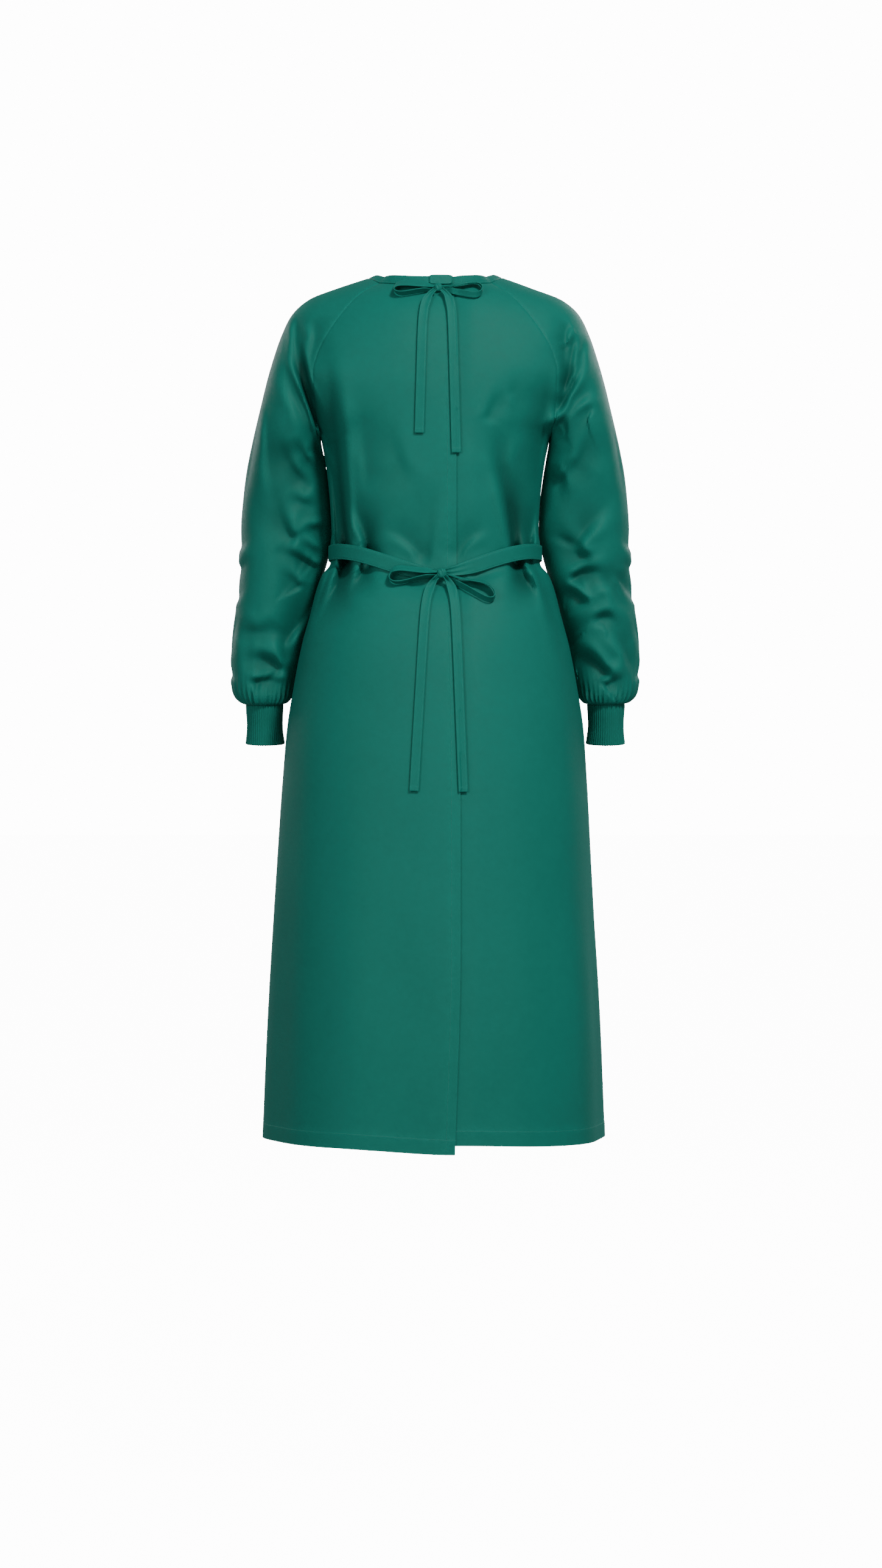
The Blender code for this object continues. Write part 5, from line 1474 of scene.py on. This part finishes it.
# Bows.
# Two ties of folded cloth end in a bow at the neck and another at the waist: a knot, two loops
# and two hanging tails each. The folded edges are stitched, and the cut ends are hemmed.
TIE_WIDTH, TIE_THICK = 0.0122, 0.0013
LOOPS = (
    # bow, hand, length, fall per length, opening, seen width of upper and lower run
    ("neck", LEFT, 0.0570, 0.03, 0.0080, 0.0092, 0.0048),
    ("neck", RIGHT, 0.0570, -0.02, 0.0125, 0.0022, 0.0082),
    ("waist", LEFT, 0.0675, 0.06, 0.0125, 0.0072, 0.0036),
    ("waist", RIGHT, 0.0680, 0.38, 0.0150, 0.0026, 0.0074),
)
TAILS = (
    # bow, hand, length, spread, distance to spread in, slant, lift at the knot
    ("neck", LEFT, 0.1905, 0.0190, 0.012, 0.028, 0.0040),
    ("neck", RIGHT, 0.2155, 0.0170, 0.010, 0.028, 0.0040),
    ("waist", LEFT, 0.2790, 0.0190, 0.014, 0.058, 0.0042),
    ("waist", RIGHT, 0.2800, 0.0160, 0.014, 0.040, 0.0070),
)
TIE_PROFILE = (
    # place across, share of the thickness
    (0.000, 0.30), (0.012, 0.75), (0.035, 1.05), (0.075, 1.10), (0.115, 1.00), (0.130, 0.78),
    (0.145, 0.98), (0.220, 1.00), (0.360, 1.00), (0.500, 1.00), (0.640, 1.00), (0.780, 1.00),
    (0.855, 0.98), (0.870, 0.78), (0.885, 1.00), (0.925, 1.10), (0.965, 1.05), (0.988, 0.75),
    (1.000, 0.30),
)
TIE_STITCHES = (5, 13)
LOOP_ROWS, TAIL_STEP = 110, 0.0020
KNOT_SQUARE = 2.6
KNOT_CREASES = (
    # from x, z, through x, z, to x, z, half width, depth, bank, deepest at, in half sizes
    (-0.75, 0.85, -0.10, 0.45, 0.20, -0.95, 0.16, 0.16, 1, 0.5),
    (0.35, 0.95, 0.55, 0.20, 0.60, -0.75, 0.13, 0.12, -1, 0.5),
    (-0.90, 0.10, -0.55, -0.25, -0.45, -0.85, 0.12, 0.12, 1, 0.5),
)


def tie(name, middle, thick_rows, outward):
    """A strip of folded cloth about a grid that runs along it and across it. Returns the strip
    and the rows of stitches on its seen side."""
    share = np.array([thick for _, thick in TIE_PROFILE])
    normals = shared_normals({name: middle}, {name: outward})[name]
    half = (TIE_THICK / 2 * share * thick_rows[:, None])[..., None]
    outer, inner = middle + normals * half, middle - normals * half
    mask = np.array([math.exp(-abs(abs(at - 0.5) - 0.37) / 0.08) for at, _ in TIE_PROFILE])
    strip = shell(
        name + "_strip", outer, inner, outward, TWILL_CLOTH, np.repeat(mask[None], len(middle), 0)
    )
    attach(strip, "root")
    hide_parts(name)
    rows = [outer[:, k] + normals[:, k] * 0.00003 for k in TIE_STITCHES]
    return strip, rows


nearest = nearest_from(surfaces)
tie_rows = []
for bow, (x, z, wide, high, deep) in BOWS.items():
    lowest = [
        nearest(x + a * wide, z + b * high) - deep * math.sqrt(1 - a * a - b * b)
        for a in np.linspace(-0.9, 0.9, 9)
        for b in np.linspace(-0.9, 0.9, 9)
        if a * a + b * b < 0.98
    ]
    centre = np.array([x, min(lowest) + 0.0006, z])
    turn, tilt = np.meshgrid(
        np.linspace(-math.pi, math.pi, 65), np.linspace(-math.pi / 2, math.pi / 2, 43)
    )
    ball = np.stack([np.cos(tilt) * np.cos(turn), np.cos(tilt) * np.sin(turn), np.sin(tilt)], axis=-1)
    ball *= (np.abs(ball) ** KNOT_SQUARE).sum(-1, keepdims=True) ** (-1 / KNOT_SQUARE)
    dent = sum(crease_depth(ball[..., [0, 2]], crease) for crease in KNOT_CREASES)
    ball *= (1 - dent * np.clip(-ball[..., 1] * 2, 0, 1))[..., None]
    knot = lump(
        f"{bow}_bow_knot_fold", ball * (wide, deep, high) + centre, np.full(ball.shape[:2], 0.15)
    )
    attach(knot, "root")
    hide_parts(f"{bow}_bow_knot")

across_shares = np.array([at for at, _ in TIE_PROFILE])
for bow, hand, length, fall, opening, upper, lower in LOOPS:
    x, z, wide, high, _ = BOWS[bow]
    start = math.asin(math.sqrt((wide * 0.7) / length))
    turn = np.linspace(start, math.pi - start, LOOP_ROWS)
    run = length * np.sin(turn) ** 2
    share = (turn - start) / (math.pi - 2 * start)
    spread = opening * np.sin(2 * turn) * np.sin(turn) ** 4
    swing = ease((share - 0.30) / 0.40)
    pinch = 0.42 + 0.58 * ease((run - wide) / 0.016)
    root = np.clip(1 - (run - wide) / 0.014, 0, 1) * (1 - 2 * share) * 0.0012
    band = (upper * (1 - swing) - lower * swing) * pinch
    deep = np.sqrt(np.maximum((TIE_WIDTH * pinch) ** 2 - band**2, 0.0016**2))
    deep *= 0.4 + 0.6 * ease((run - wide) / 0.012)
    behind = 0.0016 + 0.0012 * (1 - swing) + 0.0014 * ease((run - wide) / 0.012)
    at_x = x + hand * run
    edges = []
    for seen, away in ((0.0, deep + behind), (band, behind)):
        at_z = z - fall * run + spread + root + seen
        surface = np.array([nearest(px, pz) for px, pz in zip(at_x, at_z)])
        surface = np.minimum(smoothed(surface[:, None], 3)[:, 0], surface)
        edges.append(np.stack([at_x, surface - away, at_z], axis=1))
    middle = edges[0][:, None] * (1 - across_shares[:, None]) + edges[1][:, None] * across_shares[:, None]
    name = f"{bow}_bow_loop_" + ("left" if hand < 0 else "right")
    _, rows = tie(name, middle, np.ones(LOOP_ROWS), hand)
    tie_rows += rows

for bow, hand, length, spread, settle, slant, rise in TAILS:
    x, z, wide, high, deep = BOWS[bow]
    root = high * 0.55
    down = np.concatenate([np.arange(root, length - 0.008, TAIL_STEP), np.linspace(length - 0.007, length, 9)])
    side = spread * (1 - np.exp(-down / settle)) + slant * down
    centre = np.stack([x + hand * side, z - down], axis=1)
    forward = unit(np.gradient(centre, down, axis=0))
    across = np.stack([-forward[:, 1], forward[:, 0]], axis=1)
    half = TIE_WIDTH / 2 * (0.5 + 0.5 * ease((down - root) / 0.016))
    spots = centre[:, None] + across[:, None] * (half[:, None] * (across_shares * 2 - 1))[..., None]
    surface = np.array([[nearest(px, pz) for px, pz in row] for row in spots])
    close = np.min([surface, np.roll(surface, 1, 0), np.roll(surface, -1, 0)], axis=0)
    close[0], close[-1] = surface[0], surface[-1]
    surface = np.minimum(smoothed(close, 4), close)
    surface = np.minimum(surface, surface.mean(axis=1, keepdims=True) + 0.0004)
    lift = 0.0027 + rise * np.exp(-(down - root) / 0.012)
    fold = 0.0012 * np.exp(-(down - root) / 0.018)[:, None] * np.cos(across_shares * 2 * math.pi)
    middle = np.stack([spots[..., 0], surface - lift[:, None] - fold, spots[..., 1]], axis=-1)
    thick_rows = 1 + 0.5 * ease((down - length + 0.0065) / 0.0008)
    thick_rows *= 1 - 0.6 * ease((down - length + 0.0006) / 0.0006)
    name = f"{bow}_bow_tail_" + ("left" if hand < 0 else "right")
    _, rows = tie(name, middle, thick_rows, -1)
    tie_rows += rows
sew("tie_stitches", tie_rows)
